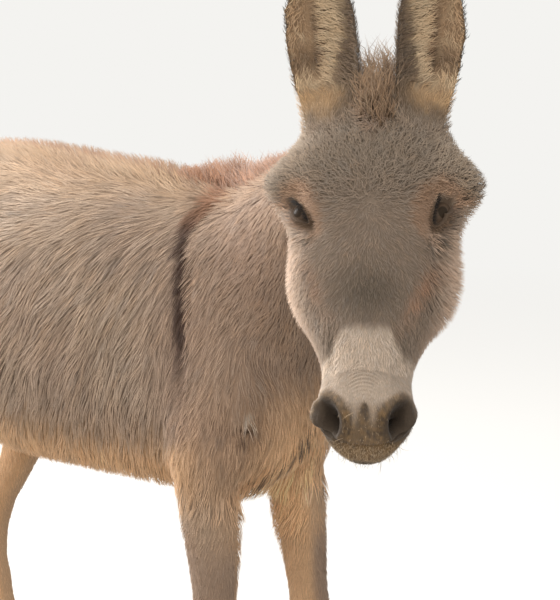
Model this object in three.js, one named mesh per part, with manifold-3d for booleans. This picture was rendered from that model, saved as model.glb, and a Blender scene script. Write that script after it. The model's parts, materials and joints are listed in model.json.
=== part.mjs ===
// A life-size standing donkey in its long winter coat, head turned towards its right.
// Millimetres, +Z up. The donkey faces -Y, so its left side is +X. The solids reach to the tips of the coat.
// Each part of the body is lofted from cross-sections and parted from its neighbours by a thin cut.
// The body is laid out round a point on the ground under the front of the withers, and moved at the end
// so that the origin is the centre of the footprint of the whole model.
import * as THREE from "three";
import { mergeVertices } from "three/addons/utils/BufferGeometryUtils.js";
import Module from "manifold-3d";

const wasm = await Module();
wasm.setup();

// ---- Driving dimensions ----
const GAP = 0.3; // width of a parting cut
const MOUTH_GAP = 2; // between the closed lips
const TRIM = 0.05; // faces that bend less than this are joined
const HEAD_TURN = 52; // degrees, from straight ahead to the donkey's right
const FACE_SLOPE = 28.5; // degrees, between the line of the face and the vertical
const POLL = new THREE.Vector3(-115, -478, 1273); // top of the head, between the ears
const FORE_FOOT = { x: 100, y: -125 }; // fetlock of the upright foreleg, from the midline and the withers
const FORE_SLANT = { left: 0.13, right: 0 }; // the left foreleg stands a little in front of the right
const HIND_HOCK = { x: 104, left: 854, right: 880 }; // hocks, the right one a little further back
const LEVEL = { elbow: 600, stifle: 640, coronet: 76 }; // heights where the legs are parted
const EYE = { along: 169, out: 88, deep: -40, radius: 21 }; // centre, in the head's own frame
const BROW = { along: 122, deep: -38, swell: 39, length: 37, height: 48 };
const EAR = { along: 24, rise: -6, root: 34, length: 262 };
// how each ear stands: its root from the midline, its slant, bend, turn outwards and width
const EAR_LEAN = {
  left: { root: 66, out: 0.18, back: 60, turn: 0.66, wide: 0.97 },
  right: { root: 63, out: 0.14, back: 20, turn: 0.38, wide: 1.02 },
};
const MUZZLE_START = 392; // from the poll, along the face

const COAT = { color: 0x9c8675, roughness: 0.95, metalness: 0 };
const PALE_COAT = { color: 0xb5a08c, roughness: 0.95, metalness: 0 };
const DARK_HAIR = { color: 0x6b4f3c, roughness: 0.9, metalness: 0 };
const HORN = { color: 0x4a4038, roughness: 0.6, metalness: 0 };
const EYEBALL = { color: 0x17110d, roughness: 0.05, metalness: 0 };

const vec = (x, y, z) => new THREE.Vector3(x, y, z);
const mix = THREE.MathUtils.lerp;
const rad = THREE.MathUtils.degToRad;
const SIDES = { left: 1, right: -1 };

// ---- Smooth functions and lofts ----

// A smooth function through [place, value] pairs, with no overshoot between them. A value may be a list.
function through(...pairs) {
  const at = pairs.map((p) => p[0]);
  const value = pairs.map((p) => p.slice(1));
  const slope = value.map((v, i) =>
    v.map((_, k) => {
      if (i === 0 || i === at.length - 1) return 0;
      const before = (v[k] - value[i - 1][k]) / (at[i] - at[i - 1]);
      const after = (value[i + 1][k] - v[k]) / (at[i + 1] - at[i]);
      return before * after <= 0 ? 0 : (2 * before * after) / (before + after);
    }),
  );
  return (x) => {
    let i = 0;
    while (i < at.length - 2 && x > at[i + 1]) i += 1;
    const span = at[i + 1] - at[i];
    const t = THREE.MathUtils.clamp((x - at[i]) / span, 0, 1);
    const bend = t * t * (3 - 2 * t);
    const out = value[i].map(
      (v, k) =>
        mix(v, value[i + 1][k], bend) +
        span * t * (1 - t) * ((1 - t) * slope[i][k] - t * slope[i + 1][k]),
    );
    return out.length === 1 ? out[0] : out;
  };
}

const steps = (from, to, count) =>
  Array.from({ length: count + 1 }, (_, i) => mix(from, to, i / count));

// A closed ring round centre. side and up are its axes. wide and tall give the half sizes along them,
// tall apart for the upper and lower halves. square is the exponent: 2 is an ellipse, more is boxier.
// taper narrows the ring towards its lower end.
function ring(centre, side, up, { wide, top, bottom, square = 2, taper = 0, sides }) {
  return Array.from({ length: sides }, (_, i) => {
    const turn = (i / sides) * 2 * Math.PI;
    const [c, s] = [Math.cos(turn), Math.sin(turn)];
    const across = Math.sign(c) * Math.abs(c) ** (2 / square);
    const height = Math.sign(s) * Math.abs(s) ** (2 / square);
    const narrowed = 1 - (height < 0 ? taper * height * height : 0);
    return centre
      .clone()
      .addScaledVector(side, across * wide * narrowed)
      .addScaledVector(up, height * (height > 0 ? top : bottom));
  });
}

// The closed surface over a row of rings with equal counts, its ends fanned to their centres.
function loft(rings) {
  const sides = rings[0].length;
  const middle = (r) => r.reduce((a, p) => a.add(p), vec(0, 0, 0)).divideScalar(r.length);
  const points = [...rings.flat(), middle(rings[0]), middle(rings.at(-1))];
  const [first, last] = [points.length - 2, points.length - 1];
  const end = (rings.length - 1) * sides;
  const index = [];
  for (let j = 0; j < sides; j += 1) {
    const next = (j + 1) % sides;
    for (let i = 0; i < end; i += sides)
      index.push(i + j, i + next, i + sides + next, i + j, i + sides + next, i + sides + j);
    index.push(first, next, j, last, end + j, end + next);
  }
  const geometry = new THREE.BufferGeometry().setFromPoints(points);
  return solid(geometry.setIndex(index));
}

// ---- Solids ----

function solid(geometry) {
  const bare = geometry.clone();
  bare.deleteAttribute("normal");
  bare.deleteAttribute("uv");
  const merged = mergeVertices(bare, 1e-4);
  const vertProperties = new Float32Array(merged.attributes.position.array);
  const triVerts = new Uint32Array(merged.index.array);
  const made = new wasm.Manifold(new wasm.Mesh({ numProp: 3, vertProperties, triVerts }));
  if (made.volume() > 0) return made;
  for (let i = 0; i < triVerts.length; i += 3)
    [triVerts[i + 1], triVerts[i + 2]] = [triVerts[i + 2], triVerts[i + 1]];
  return new wasm.Manifold(new wasm.Mesh({ numProp: 3, vertProperties, triVerts }));
}

// An ellipsoid with its own axes: a frame of three unit vectors and the half size along each.
function ellipsoid(centre, axes, sizes, detail = 2) {
  const basis = new THREE.Matrix4().makeBasis(
    ...axes.map((a, i) => a.clone().multiplyScalar(sizes[i])),
  );
  const geometry = new THREE.SphereGeometry(1, 7 * detail, 4 * detail);
  return solid(geometry.applyMatrix4(basis.setPosition(centre)));
}

const inFront = (body, point, normal, gap = GAP) =>
  body.trimByPlane(normal.toArray(), normal.dot(point) + gap / 2);
const behind = (body, point, normal, gap = GAP) =>
  inFront(body, point, normal.clone().negate(), gap);

// The largest piece, without any crumbs that a cut has left.
function whole(body) {
  return body.decompose().sort((a, b) => b.volume() - a.volume())[0];
}

function geometryOf(body) {
  const { vertProperties, triVerts } = body.getMesh();
  return new THREE.BufferGeometry()
    .setAttribute("position", new THREE.BufferAttribute(vertProperties, 3))
    .setIndex(new THREE.BufferAttribute(triVerts, 1));
}

// The body with its surface moved outwards by the width of a parting cut, for taking out of a neighbour.
// Each corner is pushed out until it is clear of every face that meets there.
function room(body) {
  const geometry = geometryOf(body);
  const flat = geometry.toNonIndexed();
  flat.computeVertexNormals();
  const corners = Array.from(geometry.index.array, (corner, i) => [corner, 3 * i]);
  const push = Array.from({ length: geometry.attributes.position.count }, () => vec(0, 0, 0));
  for (let pass = 0; pass < 12; pass += 1)
    for (const [corner, i] of corners) {
      const normal = vec().fromArray(flat.attributes.normal.array, i);
      push[corner].addScaledVector(normal, Math.max(0, GAP - normal.dot(push[corner])));
    }
  const moved = push.map((step, i) =>
    step.add(vec().fromBufferAttribute(geometry.attributes.position, i)),
  );
  return solid(new THREE.BufferGeometry().setFromPoints(moved).setIndex(geometry.index));
}
const without = (body, ...others) => others.reduce((a, b) => a.subtract(room(b)), body);

const donkey = new THREE.Group();
function add(name, body, finish) {
  const mesh = new THREE.Mesh(geometryOf(whole(body).simplify(TRIM)), new THREE.MeshStandardMaterial(finish));
  mesh.name = name;
  donkey.add(mesh);
}

// ---- Trunk: rings across the body, from the breast to the buttocks ----
const X = vec(1, 0, 0);
const Y = vec(0, 1, 0);
const Z = vec(0, 0, 1);
const trunkSection = through(
  // place along the back, half width, top, level of the widest point, bottom
  [-238, 46, 860, 800, 745],
  [-222, 86, 930, 800, 690],
  [-180, 118, 1010, 810, 626],
  [-110, 138, 1092, 815, 590],
  [0, 160, 1142, 820, 577],
  [120, 196, 1166, 820, 570],
  [280, 236, 1178, 815, 562],
  [430, 252, 1194, 815, 557],
  [560, 248, 1201, 830, 574],
  [680, 226, 1201, 860, 612],
  [790, 205, 1184, 895, 670],
  [880, 172, 1140, 920, 745],
  [935, 128, 1095, 940, 810],
  [965, 70, 1040, 950, 870],
);
function trunkLoft() {
  const places = [-238, -232, -218, -190, -150, -100, -40, 30, 110, 200, 290];
  places.push(380, 470, 560, 640, 710, 770, 825, 875, 915, 945, 960, 965);
  return loft(
    places.map((y) => {
      const [wide, top, level, bottom] = trunkSection(y);
      const sizes = { wide, top: top - level, bottom: level - bottom };
      return ring(vec(0, y, level), X, Z, { ...sizes, square: 2.05, sides: 20 });
    }),
  );
}

// ---- Neck: rings strung between the line of the crest and the line of the throat ----
const neckLines = through(
  // place, crest x y z, throat x y z, half width
  [0, 0, 110, 1125, 0, -120, 740, 128],
  [1, 0, 0, 1134, 0, -215, 800, 120],
  [2, -10, -105, 1126, -6, -258, 865, 99],
  [3, -38, -225, 1163, -22, -318, 938, 84],
  [4, -72, -345, 1208, -30, -366, 1004, 79],
  [5, -100, -440, 1250, -36, -394, 1048, 76],
  [6, -116, -472, 1242, -62, -434, 1070, 62],
);
const crest = (t) => vec(...neckLines(t).slice(0, 3));
const throat = (t) => vec(...neckLines(t).slice(3, 6));
function neckLoft() {
  return loft(
    steps(0, 6, 11).map((t) => {
      const [top, bottom] = [crest(t), throat(t)];
      const centre = top.clone().lerp(bottom, 0.5);
      const along = crest(t + 0.1).add(throat(t + 0.1)).sub(crest(t - 0.1).add(throat(t - 0.1)));
      const up = top.clone().sub(bottom).normalize();
      const side = along.cross(up).normalize();
      const half = top.distanceTo(bottom) / 2;
      const wide = neckLines(t)[6];
      return ring(centre, side, up, { wide, top: half, bottom: half, square: 2.1, sides: 16 });
    }),
  );
}

// ---- Head: its own frame runs along the face, to the donkey's left, and out of the forehead ----
const facing = vec(-Math.sin(rad(HEAD_TURN)), -Math.cos(rad(HEAD_TURN)), 0);
const along = facing
  .clone()
  .multiplyScalar(Math.sin(rad(FACE_SLOPE)))
  .addScaledVector(Z, -Math.cos(rad(FACE_SLOPE)));
const out = facing
  .clone()
  .multiplyScalar(Math.cos(rad(FACE_SLOPE)))
  .addScaledVector(Z, Math.sin(rad(FACE_SLOPE)));
const leftward = vec().crossVectors(Z, facing).normalize();
const headAxes = [along, leftward, out];
const inHead = (a, l, o) =>
  POLL.clone().addScaledVector(along, a).addScaledVector(leftward, l).addScaledVector(out, o);

const headSection = through(
  // distance from the poll, half width, level of the widest point, face side, jaw side, boxiness, taper
  [-30, 16, -60, -46, -76, 2, 0],
  [-18, 46, -60, -22, -100, 2, 0],
  [10, 82, -60, 0, -140, 2.1, 0.1],
  [54, 106, -60, 12, -190, 2.2, 0.2],
  [100, 117, -58, 20, -224, 2.2, 0.32],
  [140, 114, -60, 19, -232, 2.2, 0.36],
  [175, 111, -74, 14, -226, 2.2, 0.38],
  [205, 113, -94, 10, -212, 2.2, 0.38],
  [240, 115, -108, 6, -198, 2.2, 0.36],
  [270, 108, -108, 3, -184, 2.2, 0.34],
  [300, 96, -100, 1, -168, 2.2, 0.32],
  [330, 80, -86, 0, -150, 2.25, 0.28],
  [355, 68, -74, 0, -139, 2.3, 0.26],
  [380, 60, -66, 0, -131, 2.35, 0.24],
  [400, 58, -58, -1, -126, 2.35, 0.26],
  [420, 61, -52, -2, -125, 2.35, 0.34],
  [445, 67, -50, -5, -127, 2.3, 0.44],
  [462, 62, -54, -12, -129, 2.25, 0.44],
  [478, 52, -60, -24, -127, 2.15, 0.3],
  [490, 41, -66, -38, -116, 2.1, 0.14],
  [498, 22, -70, -54, -94, 2, 0],
);
// The woolly brows swell out at the sides, above the eyes, and the chin is narrower than the lips over it.
function swollen({ x: a, y: l, z: o }) {
  const near = Math.exp(-(((a - BROW.along) / BROW.length) ** 2) - ((o - BROW.deep) / BROW.height) ** 2);
  const front = THREE.MathUtils.smoothstep(0.91 * a - 0.41 * o, 446, 462);
  const below = THREE.MathUtils.smoothstep(-o - 38 + 0.45 * (a - 484), 0, 12);
  const narrow = 1 - 0.2 * front * below;
  return inHead(a, l * narrow + BROW.swell * near * THREE.MathUtils.clamp(l / 70, -1, 1), o);
}
function headLoft() {
  const places = [...steps(-30, 10, 3), 34, ...steps(62, 350, 12), ...steps(368, 470, 6)];
  places.push(482, 491, 498);
  return loft(
    places.map((a) => {
      const [wide, level, face, jaw, square, taper] = headSection(a);
      const sizes = { wide, top: face - level, bottom: level - jaw };
      return ring(vec(a, 0, level), Y, Z, { ...sizes, square, taper, sides: 20 }).map(swollen);
    }),
  );
}
const eyeCentre = (side) => inHead(EYE.along, side * EYE.out, EYE.deep);
const eyeball = (side) => ellipsoid(eyeCentre(side), headAxes, Array(3).fill(EYE.radius));
// The hollow under the brow that lets the eye be seen: it opens outwards and a little forwards.
function socket(side) {
  const axis = leftward.clone().multiplyScalar(side).addScaledVector(out, 0.8).normalize();
  const across = vec().crossVectors(along, axis).normalize();
  const centre = eyeCentre(side).addScaledVector(axis, 26);
  return ellipsoid(centre, [along, axis, across], [21, 22, 24]);
}
// A nostril opens forwards and outwards, and its hollow runs back into the muzzle.
function nostril(side) {
  const inward = out.clone().addScaledVector(leftward, side * 0.45).normalize();
  const long = along.clone().addScaledVector(leftward, -side * 0.36).normalize();
  const across = vec().crossVectors(long, inward).normalize();
  return ellipsoid(inHead(451, side * 46, -17), [long, inward, across], [23, 27, 12.5]);
}

// ---- Ears: a tube at the root that opens into a hollow leaf ----
const earSection = through(
  // share of the length, half width, depth of the back, depth of the hollow (below 0 it bulges)
  [0, 36, 30, -26],
  [0.1, 41, 32, -16],
  [0.2, 47, 34, 11],
  [0.35, 53, 34, 25],
  [0.5, 53, 31, 23],
  [0.68, 43, 26, 18],
  [0.84, 29, 18, 10],
  [0.94, 16, 12, 4],
  [1, 5, 7, 1],
);
function earLoft(name) {
  const side = SIDES[name];
  const lean = EAR_LEAN[name];
  const axis = out
    .clone()
    .multiplyScalar(0.56)
    .addScaledVector(along, -0.82)
    .addScaledVector(leftward, side * lean.out)
    .normalize();
  const root = inHead(EAR.along, side * lean.root, EAR.rise).addScaledVector(axis, -EAR.root);
  const rim = 5; // half the thickness of the ear's edge
  const sides = 8;
  return loft(
    [0, 0.11, 0.2, 0.29, 0.39, 0.5, 0.61, 0.72, 0.83, 0.92, 1].map((t) => {
      const [half, back, hollow] = earSection(t);
      const wide = half * lean.wide;
      // it opens forwards, and is turned outwards most at its root
      const opening = facing
        .clone()
        .addScaledVector(leftward, side * mix(lean.turn, 0.15, t))
        .projectOnPlane(axis)
        .normalize();
      const across = vec().crossVectors(axis, opening);
      const centre = root
        .clone()
        .addScaledVector(axis, t * (EAR.length + EAR.root))
        .addScaledVector(leftward, -side * lean.back * t ** 3);
      const at = (turn, w, d) =>
        centre
          .clone()
          .addScaledVector(across, Math.cos(turn) * w)
          .addScaledVector(opening, -Math.sin(turn) * d);
      const outer = steps(0, Math.PI, sides).map((a) => at(a, wide, back));
      const inner = steps(Math.PI, 0, sides)
        .slice(1, -1)
        .map((a) => at(a, wide - (hollow > 0 ? rim : 0), hollow));
      return [...outer, ...inner];
    }),
  );
}

// ---- Legs: level rings down each leg. Columns: height, place along the body, from the midline,
// half depth fore and aft, half width ----
const foreStations = [
  [1050, 95, 66, 66, 30],
  [985, 70, 78, 92, 42],
  [900, 35, 90, 112, 52],
  [810, 0, 97, 118, 58],
  [720, 10, 102, 106, 58],
  [650, 16, 103, 84, 54],
  [606, 12, 102, 70, 51],
  [550, 6, 101, 58, 48],
  [480, 1, 100, 47, 43],
  [420, 0, 100, 40, 38],
  [368, -3, 100, 42, 39],
  [320, 0, 100, 33, 31],
  [255, 2, 100, 29, 27],
  [200, 2, 100, 30, 28],
  [163, 1, 100, 36, 33],
  [118, -12, 100, 29, 28],
  [92, -22, 100, 33, 31],
  [70, -27, 100, 36, 34],
];
const hindStations = [
  [1085, 838, 66, 62, 36],
  [1030, 836, 82, 106, 56],
  [940, 820, 99, 140, 76],
  [830, 796, 106, 146, 80],
  [740, 758, 110, 128, 72],
  [680, 728, 112, 114, 63],
  [610, 720, 111, 94, 54],
  [540, 737, 108, 76, 46],
  [475, 774, 105, 62, 39],
  [415, 820, 104, 60, 37],
  [360, 856, 104, 47, 34],
  [290, 878, 104, 34, 30],
  [210, 884, 104, 31, 28],
  [166, 880, 104, 38, 34],
  [120, 862, 104, 30, 28],
  [94, 850, 104, 34, 31],
  [70, 844, 104, 37, 34],
];
function legLoft(side, stations, shift) {
  const section = through(...stations.map(([z, ...rest]) => [-z, ...rest]));
  const heights = stations.flatMap(([z], i) =>
    i < stations.length - 1 && z - stations[i + 1][0] > 75
      ? [z, (z + stations[i + 1][0]) / 2]
      : [z],
  );
  return loft(
    heights.map((z) => {
      const [y, x, deep, wide] = section(-z);
      const sizes = { wide, top: deep, bottom: deep };
      return ring(vec(side * x, y + shift(z), z), X, Y, { ...sizes, square: 2.1, sides: 12 });
    }),
  );
}
const foreSet = (name, z) => FORE_FOOT.y - FORE_SLANT[name] * Math.max(0, LEVEL.elbow - z);
const foreLeg = (name) => legLoft(SIDES[name], foreStations, (z) => foreSet(name, z));
function hindLeg(name) {
  const set = HIND_HOCK[name] - HIND_HOCK.left;
  const share = (z) => THREE.MathUtils.smoothstep(-z, -760, -430);
  return legLoft(SIDES[name], hindStations, (z) => set * share(z));
}

// A narrow upright hoof. The wall slopes forward to a longer toe, and the sole is flat on the ground.
function hoof(x, y) {
  const rows = through([0, 0, 53, 42, 43], [38, 4, 46, 40, 38], [74, 10, 36, 36, 33], [78, 10, 33, 33, 30]);
  return loft(
    [0, 38, 74, 78].map((z) => {
      const [back, toe, heel, wide] = rows(z);
      return ring(vec(x, y + back - 10, z), X, Y, { wide, top: heel, bottom: toe, square: 2.4, sides: 16 });
    }),
  );
}

// ---- Mane and tail ----
// The short mane stands along the crest, from a tuft between the ears to the withers.
function mane() {
  const size = through(
    // place, half width, height
    [-2, 6, 8],
    [-1, 17, 30],
    [0, 29, 88],
    [0.6, 24, 62],
    [1.4, 17, 31],
    [2.4, 17, 34],
    [3.4, 18, 46],
    [4.3, 19, 50],
    [5.3, 18, 36],
    [6, 13, 24],
    [6.6, 6, 10],
  );
  // along the head, from the midline, and out: the tuft falls a little to the left
  const front = through([-2, 66, 0, 12], [-1, 24, 4, 6], [0, -14, 8, -10]);
  const path = (t) => {
    const [place, aside, rise] = front(Math.min(t, 0));
    const behindPoll = crest(6.35 - Math.max(t, 0.6));
    return inHead(place, aside, rise).lerp(behindPoll, THREE.MathUtils.clamp(t / 0.6, 0, 1));
  };
  return loft(
    [...steps(-2, 1, 7), ...steps(1.6, 6, 7), 6.35].map((t) => {
      const [wide, high] = size(t);
      const way = path(t + 0.05).sub(path(t - 0.05)).normalize();
      const lean = out.clone().lerp(Z, THREE.MathUtils.clamp(t / 2 + 1, 0, 1));
      const side = vec().crossVectors(way, lean).normalize();
      const up = vec().crossVectors(side, way).normalize();
      return ring(path(t), side, up.add(lean).normalize(), { wide, top: high, bottom: 12, sides: 8 });
    }),
  );
}

// The dock hangs from the croup and ends in a switch of longer hair.
const tailSection = through(
  // height, place along the body, half width, half depth
  [-1095, 892, 40, 44],
  [-1040, 944, 38, 38],
  [-970, 980, 34, 33],
  [-860, 998, 28, 27],
  [-740, 1002, 24, 25],
  [-660, 1000, 27, 28],
  [-560, 997, 36, 36],
  [-460, 994, 34, 33],
  [-400, 992, 22, 20],
  [-372, 991, 7, 7],
);
function tailLoft(from, to, count) {
  return loft(
    steps(from, to, count).map((z) => {
      const [y, wide, deep] = tailSection(-z);
      return ring(vec(0, y, z), X, Y, { wide, top: deep, bottom: deep, sides: 10 });
    }),
  );
}

// ---- Assembly ----
const skull = headLoft();
const ears = [earLoft("left"), earLoft("right")];
const crestHair = mane();
const fore = { left: foreLeg("left"), right: foreLeg("right") };
const hind = { left: hindLeg("left"), right: hindLeg("right") };
const tail = tailLoft(1095, 660, 10);

const elbow = [vec(0, 0, LEVEL.elbow), Z];
const stifle = [vec(0, 700, LEVEL.stifle), vec(0, -0.2, 1).normalize()];
const coronet = [vec(0, 0, LEVEL.coronet), Z];
const legs = [
  ...Object.entries(fore).map(([name, leg]) => [`foreleg_${name}`, leg, elbow]),
  ...Object.entries(hind).map(([name, leg]) => [`hindleg_${name}`, leg, stifle]),
];
const shoulders = legs.map(([, leg, cut]) => inFront(leg, ...cut));
const limbs = legs.map(([name, leg, cut]) => [name, inFront(behind(leg, ...cut), ...coronet)]);
const torso = without(
  [neckLoft(), ...shoulders].reduce((a, b) => a.add(b), trunkLoft()),
  ...limbs.map(([, limb]) => limb),
  crestHair,
);
const neckCut = [vec(0, 18, 1150), vec(0, -0.76, 0.65).normalize()];
add("trunk", without(behind(torso, ...neckCut), tail), COAT);
add("neck", without(inFront(torso, ...neckCut), skull, ...ears), COAT);

const hollowed = Object.values(SIDES).reduce(
  (a, side) => without(a.subtract(socket(side)).subtract(nostril(side)), eyeball(side)),
  skull,
);
const face = without(hollowed, ...ears, crestHair);
const muzzleCut = [inHead(MUZZLE_START, 0, 0), along];
const mouth = [inHead(484, 0, -38), out.clone().addScaledVector(along, -0.45).normalize()];
const muzzle = inFront(face, ...muzzleCut);
add("head", behind(face, ...muzzleCut), COAT);
add("muzzle", inFront(muzzle, ...mouth, MOUTH_GAP), PALE_COAT);
add("chin", behind(muzzle, ...mouth, MOUTH_GAP), PALE_COAT);
add("mane", without(crestHair, ...ears), DARK_HAIR);

Object.entries(SIDES).forEach(([name, side], i) => {
  add(`ear_${name}`, ears[i], COAT);
  add(`eye_${name}`, eyeball(side), EYEBALL);
  const foreHoof = hoof(side * FORE_FOOT.x, foreSet(name, LEVEL.coronet) - 30);
  const hindHoof = hoof(side * HIND_HOCK.x, HIND_HOCK[name] - 8);
  add(`hoof_fore_${name}`, behind(foreHoof, ...coronet), HORN);
  add(`hoof_hind_${name}`, behind(hindHoof, ...coronet), HORN);
});
limbs.forEach(([name, limb]) => add(name, limb, COAT));
add("tail", tail, COAT);
add("tail_switch", tailLoft(660 - GAP, 372, 8), DARK_HAIR);

// The origin is the middle of the model's footprint, on the ground.
const box = new THREE.Box3().setFromObject(donkey);
const centre = box.getCenter(vec());
donkey.position.set(-centre.x, -centre.y, -box.min.z);

export default donkey;
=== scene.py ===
"""A life-size donkey in its winter coat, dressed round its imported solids.

One skin is drawn over the flesh, sculpted at the eyes, nostrils and lips, and set in from the solids by the
depth of the coat. It carries the coat's map: the lie, length, width and colour of the hair at each place.
The coat then grows from that map as closed, tapered tufts. All sizes are metres in the frame of the solids.
"""

import json

import bmesh
import bpy
import numpy as np
from bpy.props import FloatProperty, FloatVectorProperty, IntProperty, PointerProperty
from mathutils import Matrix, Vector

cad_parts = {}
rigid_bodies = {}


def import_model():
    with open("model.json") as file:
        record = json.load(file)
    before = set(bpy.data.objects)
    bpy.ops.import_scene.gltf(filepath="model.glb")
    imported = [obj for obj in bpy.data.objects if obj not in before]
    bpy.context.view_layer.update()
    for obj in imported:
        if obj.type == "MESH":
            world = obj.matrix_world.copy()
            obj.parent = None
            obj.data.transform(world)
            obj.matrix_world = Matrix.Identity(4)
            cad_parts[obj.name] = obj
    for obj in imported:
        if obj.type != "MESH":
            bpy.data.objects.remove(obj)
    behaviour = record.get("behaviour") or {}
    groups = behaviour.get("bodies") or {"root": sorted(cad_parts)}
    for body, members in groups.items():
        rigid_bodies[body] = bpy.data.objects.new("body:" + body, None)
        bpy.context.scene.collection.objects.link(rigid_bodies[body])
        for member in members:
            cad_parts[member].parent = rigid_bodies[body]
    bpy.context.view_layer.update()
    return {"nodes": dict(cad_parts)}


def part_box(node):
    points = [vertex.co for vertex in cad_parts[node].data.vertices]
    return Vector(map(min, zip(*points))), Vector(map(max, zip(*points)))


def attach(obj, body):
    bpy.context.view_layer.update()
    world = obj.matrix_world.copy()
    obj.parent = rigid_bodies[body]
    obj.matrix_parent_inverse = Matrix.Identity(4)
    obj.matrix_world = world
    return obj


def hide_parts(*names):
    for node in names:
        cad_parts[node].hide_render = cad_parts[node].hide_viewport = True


bl_info = {
    "name": "Woolly Donkey",
    "version": (1, 0, 0),
    "blender": (4, 5, 0),
    "location": "3D View > Sidebar > Donkey",
    "description": "Skin, winter coat, eyes and hooves for a life-size donkey",
    "category": "Add Mesh",
}

for leftover in list(bpy.data.objects):
    bpy.data.objects.remove(leftover)
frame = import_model()

UP = np.array([0.0, 0.0, 1.0])
SIDES = {"left": 1, "right": -1}
REGIONS = {
    "trunk": ["trunk"],
    "neck": ["neck"],
    "head": ["head", "eye_left", "eye_right"],
    "muzzle": ["muzzle", "chin"],
    "ear": ["ear_left", "ear_right"],
    "foreleg": ["foreleg_left", "foreleg_right"],
    "hindleg": ["hindleg_left", "hindleg_right"],
    "tail": ["tail"],
}
FLESH = [name for names in REGIONS.values() for name in names if not name.startswith("eye")]
# in the order of the regions: how fine the skin stays when it is thinned, and how fast its facets are rounded
FINENESS = np.array([0, 0.3, 1, 1, 1, 0.1, 0.1, 0.1])
ROUNDING = np.array([0.5, 0.35, 0.12, 0.08, 0.04, 0.14, 0.14, 0.14])

SWELL = 0.0012  # growth of each solid before they are joined, so that neighbours fuse
EYE_PLUG = 0.009  # growth of each eye, which shuts its socket until the lids are shaped
MANE_FOOT = 0.004  # how far the foot of the mane stands over the crest
WITHERS = 0.2443  # from the breast back to the withers
EAR_INSET = 0.0026  # the most that the skin of the ears is set in from the solids

# along each ear: share of its length, and half width in millimetres
EAR = np.array([(0, 36), (0.1, 41), (0.2, 47), (0.35, 53), (0.5, 53),
                (0.68, 43), (0.84, 29), (0.94, 16), (1, 5)])
EAR_LENGTH = 0.296
# each ear's root from the midline, slant outwards, bend towards the midline, turn outwards, and width
EARS = {"left": (0.066, 0.18, 0.060, 0.66, 0.97), "right": (0.063, 0.14, 0.020, 0.38, 1.02)}

# the way each eye looks, in the head's frame
LOOKS = {"left": (-0.22, 0.42, 1.2), "right": (0, -0.95, 1.2)}
# degrees from the eye's axis to the corners of its opening and to its upper and lower edges
CORNER, UPPER, LOWER = 64, 25, 19
ALMOND = 1.6  # power of the almond round an eye, between a diamond at 1 and an ellipse at 2
# degrees past that edge, and the skin's distance from the middle of the eyeball there: tucked in behind the
# ball's surface, at the edge, over the thick margin and the lid, in the fold, and out of it twice
LID_DEGREES = [-6, -1, 2.5, 9, 14, 19, 28]
LID_RADIUS = [0.0178, 0.0226, 0.0241, 0.0246, 0.0238, 0.0250, 0.0280]
WRINKLE = 0.0050  # from one fold over the nose to the next

TUFTS = {
    "trunk": 50000,
    "neck": 15500,
    "legs": 17500,
    "forehead": 9500,
    "face": 19000,
    "muzzle": 17000,
    "whiskers": 2600,
    "lashes": 260,
    "ears": 12500,
    "mane": 4800,
    "switch": 2300,
}
MOST_TRIANGLES = 190000  # in one piece of the coat
# painted rim light: the palest tips are brighter by this share, where the pale map paints light from behind
RIM_LIGHT = 0.9  # how much brighter than the root the palest tips are, over the other tips
SUNK = 0.06  # share of a tuft's length that is set into the skin
RIDGE = 1.1  # height of a tuft's ridge over its half width
SOFT = 0.6  # how far a tuft is shaded as the skin under it, which makes the coat look soft
PATCH = 0.003  # width of a tuft's patch on its map
BANDS = 24  # places along each chart of the unwrap where its middle line is found


# ---- Small maths ----


def linear(code):
    """An sRGB hex colour as linear red, green and blue."""
    c = np.array([int(code[i : i + 2], 16) / 255 for i in (0, 2, 4)])
    return tuple(np.where(c <= 0.04045, c / 12.92, ((c + 0.055) / 1.055) ** 2.4))


def unit(v):
    """Each row divided by its length."""
    return v / (np.linalg.norm(v, axis=-1, keepdims=True) + 1e-12)


def ramp(x, start, end):
    """0 before start, 1 after end, and a smooth step between."""
    t = np.clip((x - start) / (end - start), 0, 1)
    return t * t * (3 - 2 * t)


def bell(x, centre, width):
    """1 at the centre, and e to the minus square of the distance in widths."""
    return np.exp(-(((x - centre) / width) ** 2))


def mix(a, b, share):
    """From a to b by a share for each row."""
    wide = np.ndim(share) == 1 and max(np.ndim(a), np.ndim(b)) > 1
    return a + (b - a) * (share[:, None] if wide else share)


def noise(points, coarse, seed=0):
    """Smooth noise between -1 and 1: hashed values on a lattice of cells, blended across each cell. Each seed
    shifts the lattice."""
    word = 0xFFFFFFFF
    p = points / coarse + 31.7 * seed
    cell = np.floor(p).astype(np.int64)
    t = p - cell
    t = t * t * (3 - 2 * t)
    total = np.zeros(len(points))
    for corner in np.ndindex(2, 2, 2):
        h = (cell + corner) @ np.array([73856093, 19349663, 83492791]) & word
        h = (h ^ (h >> 15)) * 2246822519 & word
        h = (h ^ (h >> 13)) * 3266489917 & word
        weight = np.where(corner, t, 1 - t).prod(1)
        total += weight * (((h ^ (h >> 16)) & 0xFFFF) / 32767.5 - 1)
    return total


# ---- Sizes and colours ----


def size(name, description, default, **more):
    """A length in metres for a PropertyGroup."""
    return FloatProperty(name=name, description=description, default=default, unit="LENGTH", **more)


def angle(name, description, degrees):
    """An angle, kept in radians."""
    return FloatProperty(name=name, description=description, default=np.radians(degrees), subtype="ANGLE")


def factor(name, description, default):
    """A share between 0 and 1."""
    return FloatProperty(name=name, description=description, default=default, min=0, max=1, subtype="FACTOR")


def colour(name, description, code):
    """A colour from its sRGB hex code."""
    return FloatVectorProperty(
        name=name, description=description, default=linear(code), size=3, subtype="COLOR", min=0, max=1
    )


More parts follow.
